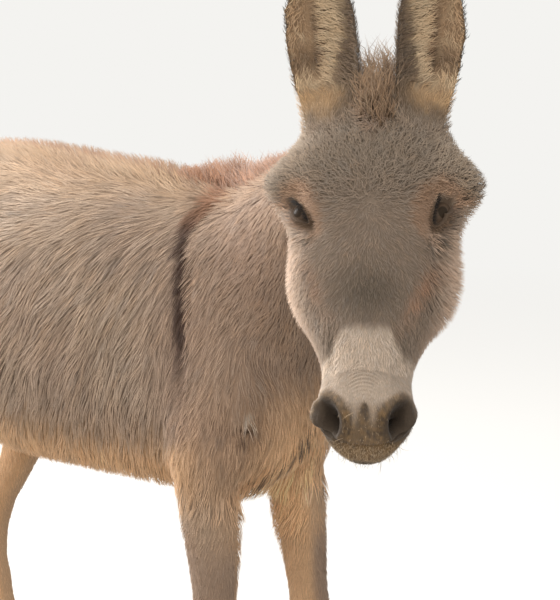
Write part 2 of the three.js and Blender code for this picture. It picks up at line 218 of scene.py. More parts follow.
class DonkeySkin(bpy.types.PropertyGroup):
    voxel: size("Voxel", "Grid on which the solids are joined into one skin", 0.0055)
    smoothing: IntProperty(name="Smoothing", description="Passes that round off the solids' facets", default=70)
    faces: IntProperty(name="Faces", description="Faces left after the plain parts are thinned", default=140000)
    depth: factor("Depth", "Depth of the coat as a share of the length of its hair", 0.36)


class DonkeyHead(bpy.types.PropertyGroup):
    slope: angle("Slope", "Between the line of the face and the vertical", 28.5)
    eye_along: size("Eye along", "From the poll to the eyes, along the face", 0.169)
    eye_deep: size("Eye deep", "From the line of the face in to the eyes", 0.040)
    eye_tilt: angle("Eye tilt", "Drop of the front corner of the eye", 50)
    nostril_along: size("Nostril along", "From the poll to the nostrils", 0.454)
    nostril_out: size("Nostril out", "From the midline to the nostrils", 0.0455)
    mouth_along: size("Mouth along", "From the poll to the front of the lips", 0.484)
    mouth_deep: size("Mouth deep", "From the line of the face in to the lips", 0.038)
    whorl: size("Whorl", "From the poll to the whorl between the eyes", 0.165)


class DonkeyCoat(bpy.types.PropertyGroup):
    flank: size("Flank", "Hair on the flanks", 0.058)
    neck: size("Neck", "Hair on the neck", 0.032)
    forehead: size("Forehead", "Curly hair over the brows", 0.021)
    face: size("Face", "Hair on the cheeks and the bridge of the nose", 0.0125)
    muzzle: size("Muzzle", "Hair round the nostrils and lips", 0.0045)
    ear: size("Ear", "Hair on the back of the ears", 0.009)
    ear_fringe: size("Ear fringe", "Long hair inside the ears", 0.027)
    leg: size("Leg", "Hair below the elbow and the stifle", 0.016)
    mane: size("Mane", "Upright hair of the mane", 0.060)
    forelock: size("Forelock", "Tuft between the ears", 0.118)
    switch: size("Switch", "Hair at the end of the tail", 0.27)
    lift: angle("Lift", "Rise of the body's hair from the skin at its root", 22)


class DonkeyColours(bpy.types.PropertyGroup):
    dun: colour("Dun", "Grey dun of the body", "9c8572")
    pale: colour("Pale dun", "Sunned tips on the flank", "aa937d")
    warm: colour("Warm dun", "Shoulders and upper legs", "8f7460")
    belly: colour("Belly", "Cream of the belly and the inside of the legs", "d3a87d")
    stripe: colour("Stripe", "Dark brown of the shoulder cross and the tail", "4a3529")
    mane: colour("Mane", "Red-brown of the mane and the back stripe", "946c50")
    face: colour("Face", "Grey of the face", "887665")
    forehead: colour("Forehead", "Forehead and brows", "857564")
    dark: colour("Dark face", "Darkest grey, above the muzzle", "5e5346")
    muzzle: colour("Muzzle", "Cream of the muzzle", "bfab97")
    ring: colour("Eye ring", "Tan ring round the eyes", "997b63")
    lid: colour("Eyelid", "Brown skin of the lids", "584636")
    cheek: colour("Cheek", "Pale dun of the cheeks and the jaw", "b69c87")
    streak: colour("Tear streak", "Red-brown streak below each eye", "a27c62")
    bare: colour("Bare skin", "Dark skin of the nostrils and lips", "4c3f32")
    lip: colour("Lip", "Dusty brown lips", "866a48")
    ear_inside: colour("Inside of ear", "Cream hair in the ears", "c3a988")
    ear_back: colour("Back of ear", "Dark dun on the backs of the ears", "6c5a48")
    # also paints rim light along the ears' outer edges, beside the real tan of their base
    ear_rim: colour("Ear rim", "Red-brown edge and base of the ears", "b8966f")
    wall: colour("Ear wall", "Brown hair on the outer wall of the ears", "a88a6b")
    hollow: colour("Hollow of ear", "Shadowed skin deep in the ears", "5d4a39")


class DonkeyStage(bpy.types.PropertyGroup):
    camera: FloatVectorProperty(
        name="Camera", description="Camera from the floor under the withers", default=(-1.4237, -1.6026, 1.228),
        subtype="TRANSLATION", unit="LENGTH",
    )
    pitch: angle("Pitch", "Camera looks down by", 8)
    yaw: angle("Yaw", "Camera turned from +Y towards +X by", 45)
    lens: FloatProperty(name="Lens", description="Focal length on a 36 mm frame, in millimetres", default=74.1)


def sizes(group):
    """The values of one PropertyGroup, as the scene holds them."""
    return getattr(bpy.context.scene, f"donkey_{group}")


# ---- The head's own frame ----


def head_frame():
    """The poll, and the axes along the face, to the donkey's left and out of the forehead, as rows."""
    head = sizes("head")
    left, right = (np.mean(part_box(f"eye_{side}"), axis=0) for side in SIDES)
    leftward = unit(left - right)
    facing = np.cross(leftward, UP)
    along = facing * np.sin(head.slope) - UP * np.cos(head.slope)
    out = facing * np.cos(head.slope) + UP * np.sin(head.slope)
    poll = (left + right) / 2 - head.eye_along * along + head.eye_deep * out
    return poll, np.stack([along, leftward, out])


def in_head(points):
    """Columns: along the face from the poll, to the left, and out of the forehead."""
    poll, axes = head_frame()
    return (points - poll) @ axes.T


def from_head(places):
    """Places in the head's frame, back in the frame of the solids."""
    poll, axes = head_frame()
    return np.asarray(places) @ axes + poll


def withers():
    """The place on the floor under the withers, on the midline."""
    low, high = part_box("trunk")
    return np.array([(low[0] + high[0]) / 2, low[1] + WITHERS, 0])


def in_body(points):
    """Columns: to the left of the midline, back from the withers, and up from the ground."""
    return points - withers()


# ---- Meshes ----


def closed_copy(name, swell=SWELL):
    """A CAD node's corners, merged, and its triangles, with each corner moved out along its normal."""
    mesh = frame["nodes"][name].data
    mesh.calc_loop_triangles()
    loose = read(mesh, "vertices", "co", 3)
    faces = read(mesh, "loop_triangles", "vertices", 3, np.int32)
    points, where = np.unique(np.round(loose, 5), axis=0, return_inverse=True)
    faces = where.reshape(-1)[faces]
    return points + swell * corner_normals(points, faces), faces


def corner_normals(points, faces):
    """Sum of the normals of the faces at each corner, each weighted by its area."""
    a, b, c = (points[faces[:, i]] for i in range(3))
    across = np.cross(b - a, c - a)
    total = [sum(np.bincount(faces[:, i], across[:, k], len(points)) for i in range(3)) for k in range(3)]
    return unit(np.stack(total, 1))


def neighbour_mean(values, edges, count):
    """The mean of each corner's neighbours along the edges."""
    n = len(values)
    table = values.reshape(n, -1)
    a, b = edges.T
    total = [np.bincount(a, table[b, k], n) + np.bincount(b, table[a, k], n) for k in range(table.shape[1])]
    return (np.stack(total, 1) / count[:, None]).reshape(values.shape)


def relax(values, edges, passes, rate=0.5):
    """Moves each value by a rate towards the mean of its neighbours, passes times."""
    count = np.maximum(np.bincount(edges.ravel(), minlength=len(values)), 1)
    if np.ndim(rate):
        rate = rate.reshape((-1,) + (1,) * (values.ndim - 1))
    for _ in range(passes):
        values = values + rate * (neighbour_mean(values, edges, count) - values)
    return values


def read(mesh, owner, field, width, kind=np.float32):
    """One field of a mesh's vertices, edges, loops or an attribute, as an array of rows."""
    items = getattr(mesh, owner) if isinstance(owner, str) else owner
    flat = np.empty(len(items) * width, kind)
    items.foreach_get(field, flat)
    return flat.reshape(-1, width) if width > 1 else flat


def put(mesh, name, values, kind="FLOAT"):
    """Stores values on the corners of a mesh."""
    field = {"FLOAT": "value", "FLOAT_VECTOR": "vector", "FLOAT_COLOR": "color"}[kind]
    if kind == "FLOAT_COLOR":
        values = np.hstack([values, np.ones((len(values), 1))])
    attribute = mesh.attributes.new(name, kind, "POINT")
    attribute.data.foreach_set(field, np.ascontiguousarray(values, np.float32).ravel())


def build_mesh(name, points, faces):
    """A mesh of triangles from arrays."""
    mesh = bpy.data.meshes.new(name)
    mesh.vertices.add(len(points))
    mesh.vertices.foreach_set("co", np.ascontiguousarray(points, np.float32).ravel())
    mesh.loops.add(3 * len(faces))
    mesh.loops.foreach_set("vertex_index", np.ascontiguousarray(faces, np.int32).ravel())
    mesh.polygons.add(len(faces))
    mesh.polygons.foreach_set("loop_start", np.arange(0, 3 * len(faces), 3, dtype=np.int32))
    mesh.polygons.foreach_set("use_smooth", np.ones(len(faces), bool))
    mesh.update(calc_edges=True)
    mesh.validate()
    return mesh


def piece(name, mesh, finish, slot, *nodes):
    """An object for a finished mesh, riding on the body and standing for CAD nodes."""
    item = bpy.data.objects.new(name, mesh)
    bpy.context.scene.collection.objects.link(item)
    mesh.materials.clear()
    mesh.materials.append(finish)
    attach(item, "root")
    if nodes:
        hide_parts(*nodes)
    return item


def joined_flesh(voxel):
    """The flesh nodes, with plugs over the eyes and in the slot of the mane, as one voxel surface that holds
    the region of each corner."""
    shells = [
        (*closed_copy(name, EYE_PLUG if name.startswith("eye") else SWELL), region)
        for region, names in enumerate(REGIONS.values())
        for name in names
    ]
    # the foot of the mane, cut off level with the crest, fills the slot that it stands in
    path, along_path = crest_path()
    foot, foot_faces = closed_copy("mane")
    crest = np.interp(crest_distance(foot)[1], along_path, path[:, 2])
    foot[:, 2] = np.minimum(foot[:, 2], crest + MANE_FOOT)
    shells.append((foot, foot_faces, list(REGIONS).index("neck")))
    starts = np.cumsum([0] + [len(points) for points, _, _ in shells])
    corners = np.vstack([points for points, _, _ in shells])
    faces = np.vstack([triangles + start for (_, triangles, _), start in zip(shells, starts)])
    mesh = build_mesh("Skin", corners, faces)
    put(mesh, "region", np.concatenate([np.full(len(points), region) for points, _, region in shells]))
    item = bpy.data.objects.new("Skin", mesh)
    bpy.context.scene.collection.objects.link(item)
    bpy.context.view_layer.objects.active = item
    mesh.remesh_voxel_size = voxel
    mesh.use_remesh_preserve_attributes = True
    bpy.ops.object.voxel_remesh()
    return item


def region_shares(mesh, edges, passes=24):
    """For each region, a share at each corner that fades over its borders."""
    region = np.round(read(mesh, mesh.attributes["region"].data, "value", 1)).astype(int)
    return relax(np.eye(len(REGIONS))[region], edges, passes)


def thin(item, keep_fine, faces):
    """Collapses the plain parts, in four levels, and keeps the corners whose share in keep_fine is 1."""
    levels = 4
    group = item.vertex_groups.new(name="plain")
    for level in range(1, levels + 1):
        picked = np.flatnonzero(np.round((1 - keep_fine) * levels) == level)
        group.add(picked.tolist(), level / levels, "REPLACE")
    modifier = item.modifiers.new("Thin", "DECIMATE")
    modifier.vertex_group = "plain"
    modifier.ratio = faces / (2 * len(item.data.polygons))
    modifier.use_collapse_triangulate = True
    bpy.context.view_layer.objects.active = item
    bpy.ops.object.modifier_apply(modifier="Thin")
    item.vertex_groups.clear()


def refine(mesh, near):
    """Cuts each face that near() picks, by its middle, into four."""
    middle = read(mesh, "polygons", "center", 3)
    picked = np.flatnonzero(near(middle))
    work = bmesh.new()
    work.from_mesh(mesh)
    work.faces.ensure_lookup_table()
    edges = {edge for i in picked for edge in work.faces[i].edges}
    bmesh.ops.subdivide_edges(work, edges=list(edges), cuts=1, use_grid_fill=True)
    bmesh.ops.triangulate(work, faces=work.faces)
    work.to_mesh(mesh)
    work.free()


# ---- Sculpting the head: every place is in the head's frame ----


def eye_axes(side):
    """In the head's frame: the eye's centre, the way it looks, along its opening, and across it."""
    head = sizes("head")
    centre = in_head(np.mean(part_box(f"eye_{side}"), axis=0)[None])[0]
    look = unit(np.array(LOOKS[side]))
    above = np.array([-1.0, 0, 0])
    forward = unit(np.array([0, 0, 1.0]) - look[2] * look)
    tilt = head.eye_tilt
    long = np.cos(tilt) * forward - np.sin(tilt) * above
    short = np.cos(tilt) * above + np.sin(tilt) * forward
    return centre, look, long, short


def eye_polar(places, side):
    """Distance from the eye's centre, degrees past the edge of its opening, and the sine of the turn from
    its long axis towards the brow. The opening is an almond: the powers of the turn's cosine over the
    corners' angle and of its sine over the upper or lower edge's angle add up to 1."""
    centre, look, long, short = eye_axes(side)
    p = places - centre
    far = np.linalg.norm(p, axis=1) + 1e-9
    off = np.degrees(np.arccos(np.clip(p @ look / far, -1, 1)))
    turn = np.arctan2(p @ short, p @ long)
    half = np.where(np.sin(turn) > 0, UPPER, LOWER)
    opening = (np.abs(np.cos(turn)) / CORNER) ** ALMOND + (np.abs(np.sin(turn)) / half) ** ALMOND
    opening = opening ** (-1 / ALMOND)
    return far, off - opening, np.sin(turn)


def eye_stain(places, side):
    """Share of dark skin round one eye: an almond longer than its opening, back from the lids and on to
    the tear duct."""
    centre, look, long, short = eye_axes(side)
    p = places - centre
    shift, half_length, half_height = 0.002, 0.036, 0.0145
    q = np.abs((p @ long - shift) / half_length) ** ALMOND + np.abs(p @ short / half_height) ** ALMOND
    near = 1 - ramp(np.linalg.norm(p, axis=1), 0.045, 0.055)
    return (1 - ramp(q ** (1 / ALMOND), 0.80, 1.06)) * ramp(p @ look, 0, 0.006) * near


def shape_eyelids(places):
    """Draws the skin on to the eyeball: an almond opening with a thick margin, a lid that hugs the ball,
    a fold behind it, and then the skin that was there. Each corner moves along its ray from the centre."""
    for side in SIDES:
        centre = eye_axes(side)[0]
        far, past, above = eye_polar(places, side)
        radius = np.interp(past, LID_DEGREES, LID_RADIUS)
        close = 1 - ramp(far, 0.045, 0.060)
        near = (1 - ramp(past, 13, 38)) * close
        brow = 0.0045 * bell(past, 27, 9) * ramp(above, 0.1, 0.7) * close
        places = centre + (places - centre) * ((mix(far, radius, near) + brow) / far)[:, None]
    return places


def nostril_place(places, side):
    """Along, across and in, for places round one nostril, from its middle, and the ways in and across."""
    head = sizes("head")
    sign = SIDES[side]
    inward = unit(np.array([0, 0.45 * sign, 1.0]))
    long = unit(np.array([1, -0.40 * sign, 0.0]))
    across = unit(np.cross(inward, long)) * sign
    p = places - [head.nostril_along, head.nostril_out * sign, -0.024]
    return p @ long, p @ across, p @ inward, inward, across


def shape_nostrils(places):
    """Sinks a comma-shaped hollow into each side of the muzzle and raises the wing round its outer edge."""
    for side in SIDES:
        long, across, deep, inward, outward = nostril_place(places, side)
        bend = across - 6 * long**2
        outer = ramp(bend, -0.004, 0.004)
        q = np.sqrt((long / 0.0265) ** 2 + (bend / mix(0.0125, 0.0215, outer)) ** 2)
        front = ramp(deep, -0.040, -0.015)
        hollow = (1 - ramp(q, mix(0.25, 0.05, outer), 1.10)) * front
        wing = bell(q, 1.12, 0.16) * front * ramp(bend, 0.0, 0.010)
        fold = bell(q, 1.45, 0.30) * front * ramp(-bend, 0.0, 0.008)
        flare = (0.0005 if side == "left" else 0.0050) * wing
        raised = flare + 0.0010 * fold - 0.021 * hollow
        places = places + np.outer(raised, inward) + np.outer(0.6 * flare, outward)
    return places


def mouth_gap(places):
    """Signed distance from the plane between the lips, and how much of the mouth is there."""
    head = sizes("head")
    normal = unit(np.array([-0.45, 0, 1.0]))
    gap = (places - [head.mouth_along, 0, -head.mouth_deep]) @ normal
    return gap, ramp(places[:, 0], 0.415, 0.440)


def shape_mouth(places):
    """A groove between the lips, with a soft roll above and below it."""
    gap, there = mouth_gap(places)
    away = unit(places - np.array([0.41, 0, -0.070]))
    groove = -0.0060 * bell(gap, -0.001, 0.0026) + 0.0032 * bell(gap, 0.0075, 0.0050)
    below = -0.0030 * bell(gap, -0.008, 0.006) + 0.0020 * bell(gap, -0.024, 0.010)
    return places + away * ((groove + below) * there)[:, None]


def shape_bridge(places):
    """Fine cross wrinkles over the nose, and a shallow channel on each side of the bridge."""
    a, l, _ = places.T
    wrinkle = 0.0008 * folds(a, l) * folds_wave(a, l)
    channel = -0.0050 * bell(a, 0.372, 0.040) * bell(np.abs(l), 0.043, 0.0075)
    crest = 0.0035 * bell(a, 0.250, 0.050) * bell(np.abs(l), 0.084, 0.012)
    groove = -0.0014 * bell(l, 0, 0.003) * bell(a, 0.468, 0.014)
    return places + np.outer(wrinkle + channel + crest + groove, [0, 0, 1.0])


def folds(a, l):
    """Where the arched wrinkles over the nose lie."""
    return bell(a, 0.405, 0.018) * (1 - ramp(np.abs(l), 0.014, 0.024))


def folds_wave(a, l):
    """1 on each wrinkle and -1 between two: a sine of the way along the face less an arch across it."""
    return np.sin(2 * np.pi * (a - 20 * l**2) / WRINKLE)


# ---- Markings: one function of place for the skin and for every tuft ----
# In these functions x, y and z run to the left, back from the withers and up from the ground, and a, l and o
# run along the face from the poll, to the left and out of the forehead.


def markings(points, normals, w):
    """The colour of the hair at each place, for its share w of each region. The body's marks, the face's and
    the ears' are laid one over the other, and ragged noise breaks their edges."""
    tone = {key: np.array(getattr(sizes("colours"), key)) for key in DonkeyColours.__annotations__}
    ragged = 0.5 * noise(points, 0.03, 1) + 0.5 * noise(points, 0.011, 2)
    hue = body_marks(points, normals, w, tone, ragged)
    hue = face_marks(hue, points, w, tone, ragged)
    hue = mix(hue, ear_marks(points, normals, tone, ragged), w["ear"])
    return np.clip(hue * (1 + 0.05 * ragged[:, None]), 0, 1)


def all_over(tone, points):
    """One colour, repeated for every place."""
    return np.tile(tone, (len(points), 1))


def body_marks(points, normals, w, tone, ragged):
    """Dun with painted warm sunlight on the back, cream below and inside the legs, painted shade between the
    locks on the breast, and the stripe and cross."""
    x, y, z = in_body(points).T
    inward = -normals[:, 0] * np.sign(x)
    hue = mix(all_over(tone["dun"], points), tone["pale"], 0.5 + 0.5 * noise(points, 0.12, 3))
    front = np.clip(w["neck"] + w["foreleg"] + ramp(-y, -0.02, 0.10) * w["trunk"], 0, 1)
    hue = mix(hue, tone["warm"], front * (0.55 + 0.3 * noise(points, 0.16, 5)))
    # painted warm sunlight: the upward-facing back, and half as much the neck, made warmer
    painted_sun_on_top = ramp(normals[:, 2], 0.55, 0.95) * (w["trunk"] + 0.5 * w["neck"])
    hue *= 1 + np.outer(painted_sun_on_top, [0.02, -0.06, -0.20])
    hue = mix(hue, tone["belly"], 0.55 * w["hindleg"])
    under = w["trunk"] * ramp(0.755 + 0.03 * ragged - z, 0, 0.10) * ramp(y, -0.2, -0.05)
    inner = w["foreleg"] + w["hindleg"] + 0.6 * w["trunk"] * ramp(0.72 - z, 0, 0.06)
    inner = inner * ramp(inward, 0.1, 0.8)
    hue = mix(hue, tone["belly"], np.clip(0.95 * under + 0.7 * inner, 0, 1))
    chest = (w["trunk"] + w["foreleg"]) * bell(x, 0.03, 0.12) * ramp(-y, 0.06, 0.14) * ramp(0.92 - z, 0, 0.16)
    chest *= ramp(z, 0.50, 0.58)
    hue = mix(hue, 1.4 * tone["belly"], 0.8 * chest * ramp(0.80 - z, -0.1, 0.12))
    # the breast's whorl, pale, with painted shade in the fold below it
    painted_crease_shade = bell(z, 0.748, 0.006) * bell(x, -0.108, 0.022) * ramp(-y, 0.12, 0.18) * w["trunk"]
    hue = mix(hue, tone["stripe"], np.clip(1.1 * painted_crease_shade, 0, 1))
    speck = np.linalg.norm(in_body(points) - [-0.106, -0.215, 0.768], axis=1)
    hue = mix(hue, tone["muzzle"], 1 - ramp(speck, 0.006, 0.012))
    # painted shade in the dark gaps between locks on the breast, across a line that climbs from between the
    # legs
    low, high = np.array([-0.018, -0.140, 0.642]), np.array([0.036, -0.204, 0.712])
    climb = np.clip((in_body(points) - low) @ (high - low) / np.sum((high - low) ** 2), 0, 1)
    gap = np.linalg.norm(in_body(points) - low - climb[:, None] * (high - low), axis=1)
    parting_shade = ramp(np.sin(2 * np.pi * (x - y + 0.3 * z + 0.006 * ragged) / 0.024), -0.2, 0.3)
    hue = mix(hue, 0.62 * tone["dark"], parting_shade * (1 - ramp(gap, 0.014, 0.032)))
    # the cross over the shoulders, the dock's dark line, and the back stripe from the mane to the tail
    tail = w["tail"] * (1 - ramp(np.abs(x), 0.012, 0.026)) * ramp(normals[:, 1], -0.2, 0.4)
    cross_line = -0.033 - 0.20 * (1.13 - z) - 0.05 * ramp(z, 1.05, 1.13)
    wide = 0.010 * ramp(z, 1.02, 1.10)
    cross = (1 - ramp(np.abs(y - cross_line) + 0.006 * ragged - wide, 0.008, 0.021)) * ramp(z, 0.76, 0.90)
    cross *= (w["trunk"] + w["neck"]) * (1 - ramp(z, 1.14, 1.16))
    line = mix(all_over(tone["stripe"], points), tone["mane"], ramp(z, 1.05, 1.12))
    hue = mix(hue, 0.85 * line, np.clip(0.7 * tail + cross, 0, 1))
    stripe = (1 - ramp(np.abs(x) + 0.004 * ragged, 0.010, 0.021)) * ramp(z, 0.98, 1.06) * w["trunk"]
    return mix(hue, tone["mane"], 0.75 * stripe)


def face_marks(hue, points, w, tone, ragged):
    """Grey over the face with pale cheeks, a dark patch above the cream muzzle, streaks from the eyes, and
    then the lips, the eyes' rings and the nostrils."""
    places = in_head(points)
    a, l, o = places.T
    on_head = np.clip(w["head"] + w["muzzle"], 0, 1)
    hue = mix(hue, mix(all_over(tone["forehead"], points), tone["face"], ramp(a, 0.10, 0.20)), on_head)
    cheek = on_head * ramp(-o, 0.035, 0.085) * ramp(a, 0.05, 0.15)
    cheek = np.maximum(cheek, on_head * ramp(np.abs(l), 0.080, 0.105) * ramp(a, 0.16, 0.22))
    hue = mix(hue, tone["cheek"], 0.85 * cheek)
    dark = bell(a, 0.288, 0.038) * bell(l, 0, 0.045) * ramp(o, -0.04, -0.01) * on_head
    hue = mix(hue, tone["dark"], np.clip(dark, 0, 1) * 0.85)
    # a red-brown streak down each cheek and wet, mottled hair below each eye, both stronger on the left
    streak = bell(np.abs(l), 0.080 - 0.42 * (a - 0.25), 0.009) * bell(a, 0.280, 0.042) * ramp(o, -0.075, -0.04)
    streak *= mix(0.45, 1.1, l > 0) * (0.8 + 0.8 * ragged)
    hue = mix(hue, tone["streak"], np.clip(streak, 0, 1) * on_head)
    tear = bell(np.abs(l), 0.087 - 0.25 * (a - 0.19), 0.011) * bell(a, 0.204, 0.018) * ramp(o, -0.09, -0.05)
    tear = np.clip(1.3 * tear, 0, 1) * on_head * mix(0.6, 1.0, l > 0)
    dry = ramp(noise(points, 0.0035, 9), -0.1, 0.35)
    hue = mix(hue, mix(all_over(0.8 * tone["dark"], points), 0.9 * tone["cheek"], dry), tear)
    # the cream muzzle, painted shade in the small hollows at its sides, and the shade between its folds
    edge = 0.329 + 0.010 * ragged + np.minimum(1.6 * np.maximum(np.abs(l) - 0.028, 0), 0.030)
    hue = mix(hue, tone["muzzle"], on_head * ramp(a - edge, 0, 0.016))
    dimple_shade = bell(a, 0.353, 0.016) * bell(np.abs(l), 0.047, 0.0045) * ramp(o, -0.05, -0.02)
    hue = mix(hue, tone["dark"], 0.6 * dimple_shade * on_head)
    shade = folds(a, l) * ramp(folds_wave(a, l), 0.2, -0.9)
    hue = mix(hue, tone["face"], 0.40 * shade * on_head)
    dusty, lips = lip_marks(points, places, tone, ragged)
    hue = mix(hue, dusty, 0.92 * lips * on_head)
    for side in SIDES:
        far, past, above = eye_polar(places, side)
        over = ramp(above, -0.2, 0.6) * (1.0 if side == "left" else 0.3)
        close = 1 - ramp(far - 0.008 * over, 0.042, 0.056)
        ring = (1 - ramp(past + 4 * ragged - 16 * over, 26, 42)) * close
        ring *= np.maximum(ramp(past, 4, 12), ramp(far, 0.029, 0.036))
        hue = mix(hue, tone["ring"], 0.9 * ring * on_head * (1 - 0.7 * tear))
        hue = mix(hue, tone["lid"], 0.9 * eye_stain(places, side))
        # dusty hair, bare skin and painted shade deep in each nostril, each an oval within the last
        long, across, deep, _, _ = nostril_place(places, side)
        shore = ramp(deep, -0.065, -0.04) * on_head
        near = np.hypot(long / 0.041, across / np.where(across > 0, 0.036, 0.033)) + 0.12 * ragged
        hue = mix(hue, dusty, 0.75 * (1 - ramp(near, 0.80, 1.02)) * shore)
        near = np.hypot(long / 0.034, across / np.where(across > 0, 0.032, 0.0225)) + 0.05 * ragged
        hue = mix(hue, tone["bare"], (1 - ramp(near, 0.70, 1.05)) * shore)
        pit_shade = np.hypot(long / 0.024, (across - 6 * long**2 + 0.002) / 0.009)
        hue = mix(hue, 0.75 * tone["bare"], 0.8 * (1 - ramp(pit_shade, 0.6, 1.2)) * shore)
    return hue


def lip_marks(points, places, tone, ragged):
    """The dusty colour of the lips, and their share at each place: the upper lip with two paler notches, a
    dark spot in its middle, and the chin below the mouth."""
    a, l, _ = places.T
    lips = ramp(a + 0.005 * ragged - 0.437, -0.006, 0.016) * ramp(0.062 - np.abs(l), 0, 0.01)
    lips *= 1 - 0.62 * bell(np.abs(l), 0.0115, 0.0045) * (1 - ramp(a, 0.448, 0.472))
    spot = 1 - ramp(np.hypot((l - 0.001) / 0.0065, (a - 0.447) / 0.011) + 0.15 * ragged, 0.6, 1.15)
    chin = ramp(-mouth_gap(places)[0], -0.004, 0.004) * ramp(a, 0.43, 0.45)
    bare = np.clip(0.50 - 0.42 * chin + 0.45 * spot + 0.7 * noise(points, 0.0032, 6), 0, 1)
    return mix(all_over(tone["lip"], points), tone["bare"], bare), np.maximum(np.maximum(lips, spot), chin)


def ear_marks(points, normals, tone, ragged):
    """Dark backs and a tan base, and inside them a cream ridge, painted shade in the hollow and a brown outer
    wall, with painted rim light along the outer edge.
    """
    t, across, *_ = ear_place(points, normals)
    inside = ear_inside(points, normals)
    ear = mix(all_over(tone["ear_back"], points), tone["forehead"], ramp(0.14 - t, 0, 0.08))
    ear = mix(ear, tone["ear_rim"], 0.9 * bell(t + 0.05 * ragged, 0.180, 0.06) * ramp(across, -0.9, 0.2))
    # painted rim light along the outer edge of each ear
    ear = mix(ear, tone["ear_rim"], 0.6 * bell(np.abs(across), 0.98, 0.08) * ramp(across, -0.5, 0.5))
    creamy = 0.5 * ramp(noise(points, 0.012, 7), 0.1, 0.5)
    outer = mix(all_over(tone["wall"], points), tone["ear_inside"], creamy)
    # painted shade deep in the hollow of the ear
    deep = bell(across, 0.14 + 0.1 * ragged, 0.15) * ramp(t, 0.24, 0.32) * (1 - 0.6 * ramp(t, 0.45, 0.65))
    cup = mix(outer, tone["hollow"], np.clip(deep + 0.6 * bell(t, 0.34, 0.06) * ramp(across, -0.1, 0.2), 0, 1))
    cup = mix(cup, tone["ear_inside"], ramp(0.02 + 0.2 * ragged - across, 0, 0.3))
    cup = mix(cup, tone["ear_inside"], 0.85 * bell(t + 0.03 * ragged, 0.245, 0.035) * ramp(across, -0.5, -0.2))
    front = np.interp(t, [0.2, 0.3, 0.45, 0.6, 1], [-0.30, -0.58, -0.70, -0.76, -0.85])
    return mix(ear, cup, inside * ramp(across + 0.06 * ragged, front - 0.05, front + 0.08))


def ear_axis(side):
    """From the root of an ear to its tip, before it bends towards the midline."""
    _, (along, leftward, out) = head_frame()
    return unit(0.56 * out - 0.82 * along + SIDES[side] * EARS[side][1] * leftward)


def ear_place(points, normals):
    """For each place on the nearer ear: the share of the way to the tip, the place across from -1 at the
    midline's edge to 1 at the outer edge, how far the normal turns to the opening, and the ear's own axis
    and outward direction there. The opening turns outwards most at the root, and the middle of the ear
    bends towards the midline by the cube of the share."""
    _, (_, leftward, _) = head_frame()
    facing = np.cross(leftward, UP)
    left_half = in_head(points)[:, 1] > 0
    found = []
    for side, sign in SIDES.items():
        axis = ear_axis(side)
        from_midline, _, bend, turn, wide = EARS[side]
        root = from_head([0.024, from_midline * sign, -0.006]) - 0.034 * axis
        t = np.clip((points - root) @ axis / EAR_LENGTH, 0, 1)
        centre = root + np.outer(EAR_LENGTH * t, axis) - np.outer(sign * bend * t**3, leftward)
        opening = facing + np.outer(sign * mix(turn, 0.15, t), leftward)
        opening = unit(opening - np.outer(opening @ axis, axis))
        outward = sign * np.cross(axis, opening)
        across = ((points - centre) * outward).sum(1) / np.interp(t, EAR[:, 0], EAR[:, 1] * 0.001 * wide)
        turned = (normals * opening).sum(1)
        found.append((t, across, turned, all_over(axis, points), outward))
    left, right = found
    return [np.where(left_half if a.ndim == 1 else left_half[:, None], a, b) for a, b in zip(left, right)]


def ear_inside(points, normals):
    """1 on the surface of an ear that faces its own opening."""
    t, _, turned, *_ = ear_place(points, normals)
    return ramp(turned, 0.15, 0.5) * ramp(t, 0.17, 0.24)


# ---- The coat's map ----

HAIR = ("length", "width", "wander", "lift", "stay", "pale")


def lie_of_coat(points, normals, w):
    """The way the hair lies: back and down over the body, down the limbs, away from the whorl on the face,
    and up the ears, each weighted by its region and then laid along the skin."""
    _, y, z = in_body(points).T
    a, l, o = in_head(points).T
    one = np.ones(len(points))
    _, (along, leftward, out) = head_frame()
    # the fall over the run back: steeper down the flank, in front, over the croup and on the breast
    fall = 0.25 + 3.2 * ramp(1.14 - z, 0, 0.44) + 0.9 * ramp(0.5 - y, 0, 0.5) * ramp(1.13 - z, 0, 0.15)
    fall += 1.2 * ramp(y, 0.70, 0.90) + 1.2 * ramp(-y, -0.08, 0.08) - 2.5 * ramp(0.64 - z, 0, 0.06)
    trunk = np.stack([0 * one, one, -fall], 1)
    neck = np.stack([0 * one, 0.55 * one, -one], 1)
    leg = np.stack([0 * one, 0.14 * one, -one], 1)
    tail = np.stack([0 * one, 0.1 * one, -one], 1)
    down = a - sizes("head").whorl
    away = unit(np.stack([down, 1.15 * l], 1) + 1e-6)
    front = np.outer(away[:, 0], along) + np.outer(away[:, 1], leftward)
    cheek = np.outer(one, along * 0.75 - out * 0.65) + np.outer(0.2 * np.sign(l), leftward)
    above = np.outer(one, -0.9 * along) + np.outer(np.sign(l) * 0.5, leftward)
    head = mix(front, cheek, ramp(-o, 0.03, 0.10) * ramp(a, 0.08, 0.16))
    head = mix(head, above, ramp(0.08 - a, 0, 0.05))
    muzzle = np.outer(one, along) + np.outer(3 * l, leftward)
    t, across, _, axis, outward = ear_place(points, normals)
    inside = ear_inside(points, normals)
    over = mix(outward * (0.95 - 0.5 * t)[:, None] + 0.4 * axis, axis - 0.4 * outward, ramp(across, 0.35, 0.6))
    ear = mix(axis + 0.3 * outward * np.sign(across)[:, None], over, inside)
    fields = {"trunk": trunk, "neck": neck, "head": head, "muzzle": muzzle, "ear": ear,
              "foreleg": leg, "hindleg": leg, "tail": tail}
    lie = sum(w[name][:, None] * unit(field) for name, field in fields.items())
    # the whorl on each side of the breast
    for sign in SIDES.values():
        spot = in_body(points) - [0.123 * sign, -0.224, 0.763]
        lie += 1.6 * bell(np.linalg.norm(spot, axis=1), 0.008, 0.010)[:, None] * unit(spot)
    return unit(lie - (lie * normals).sum(1)[:, None] * normals)


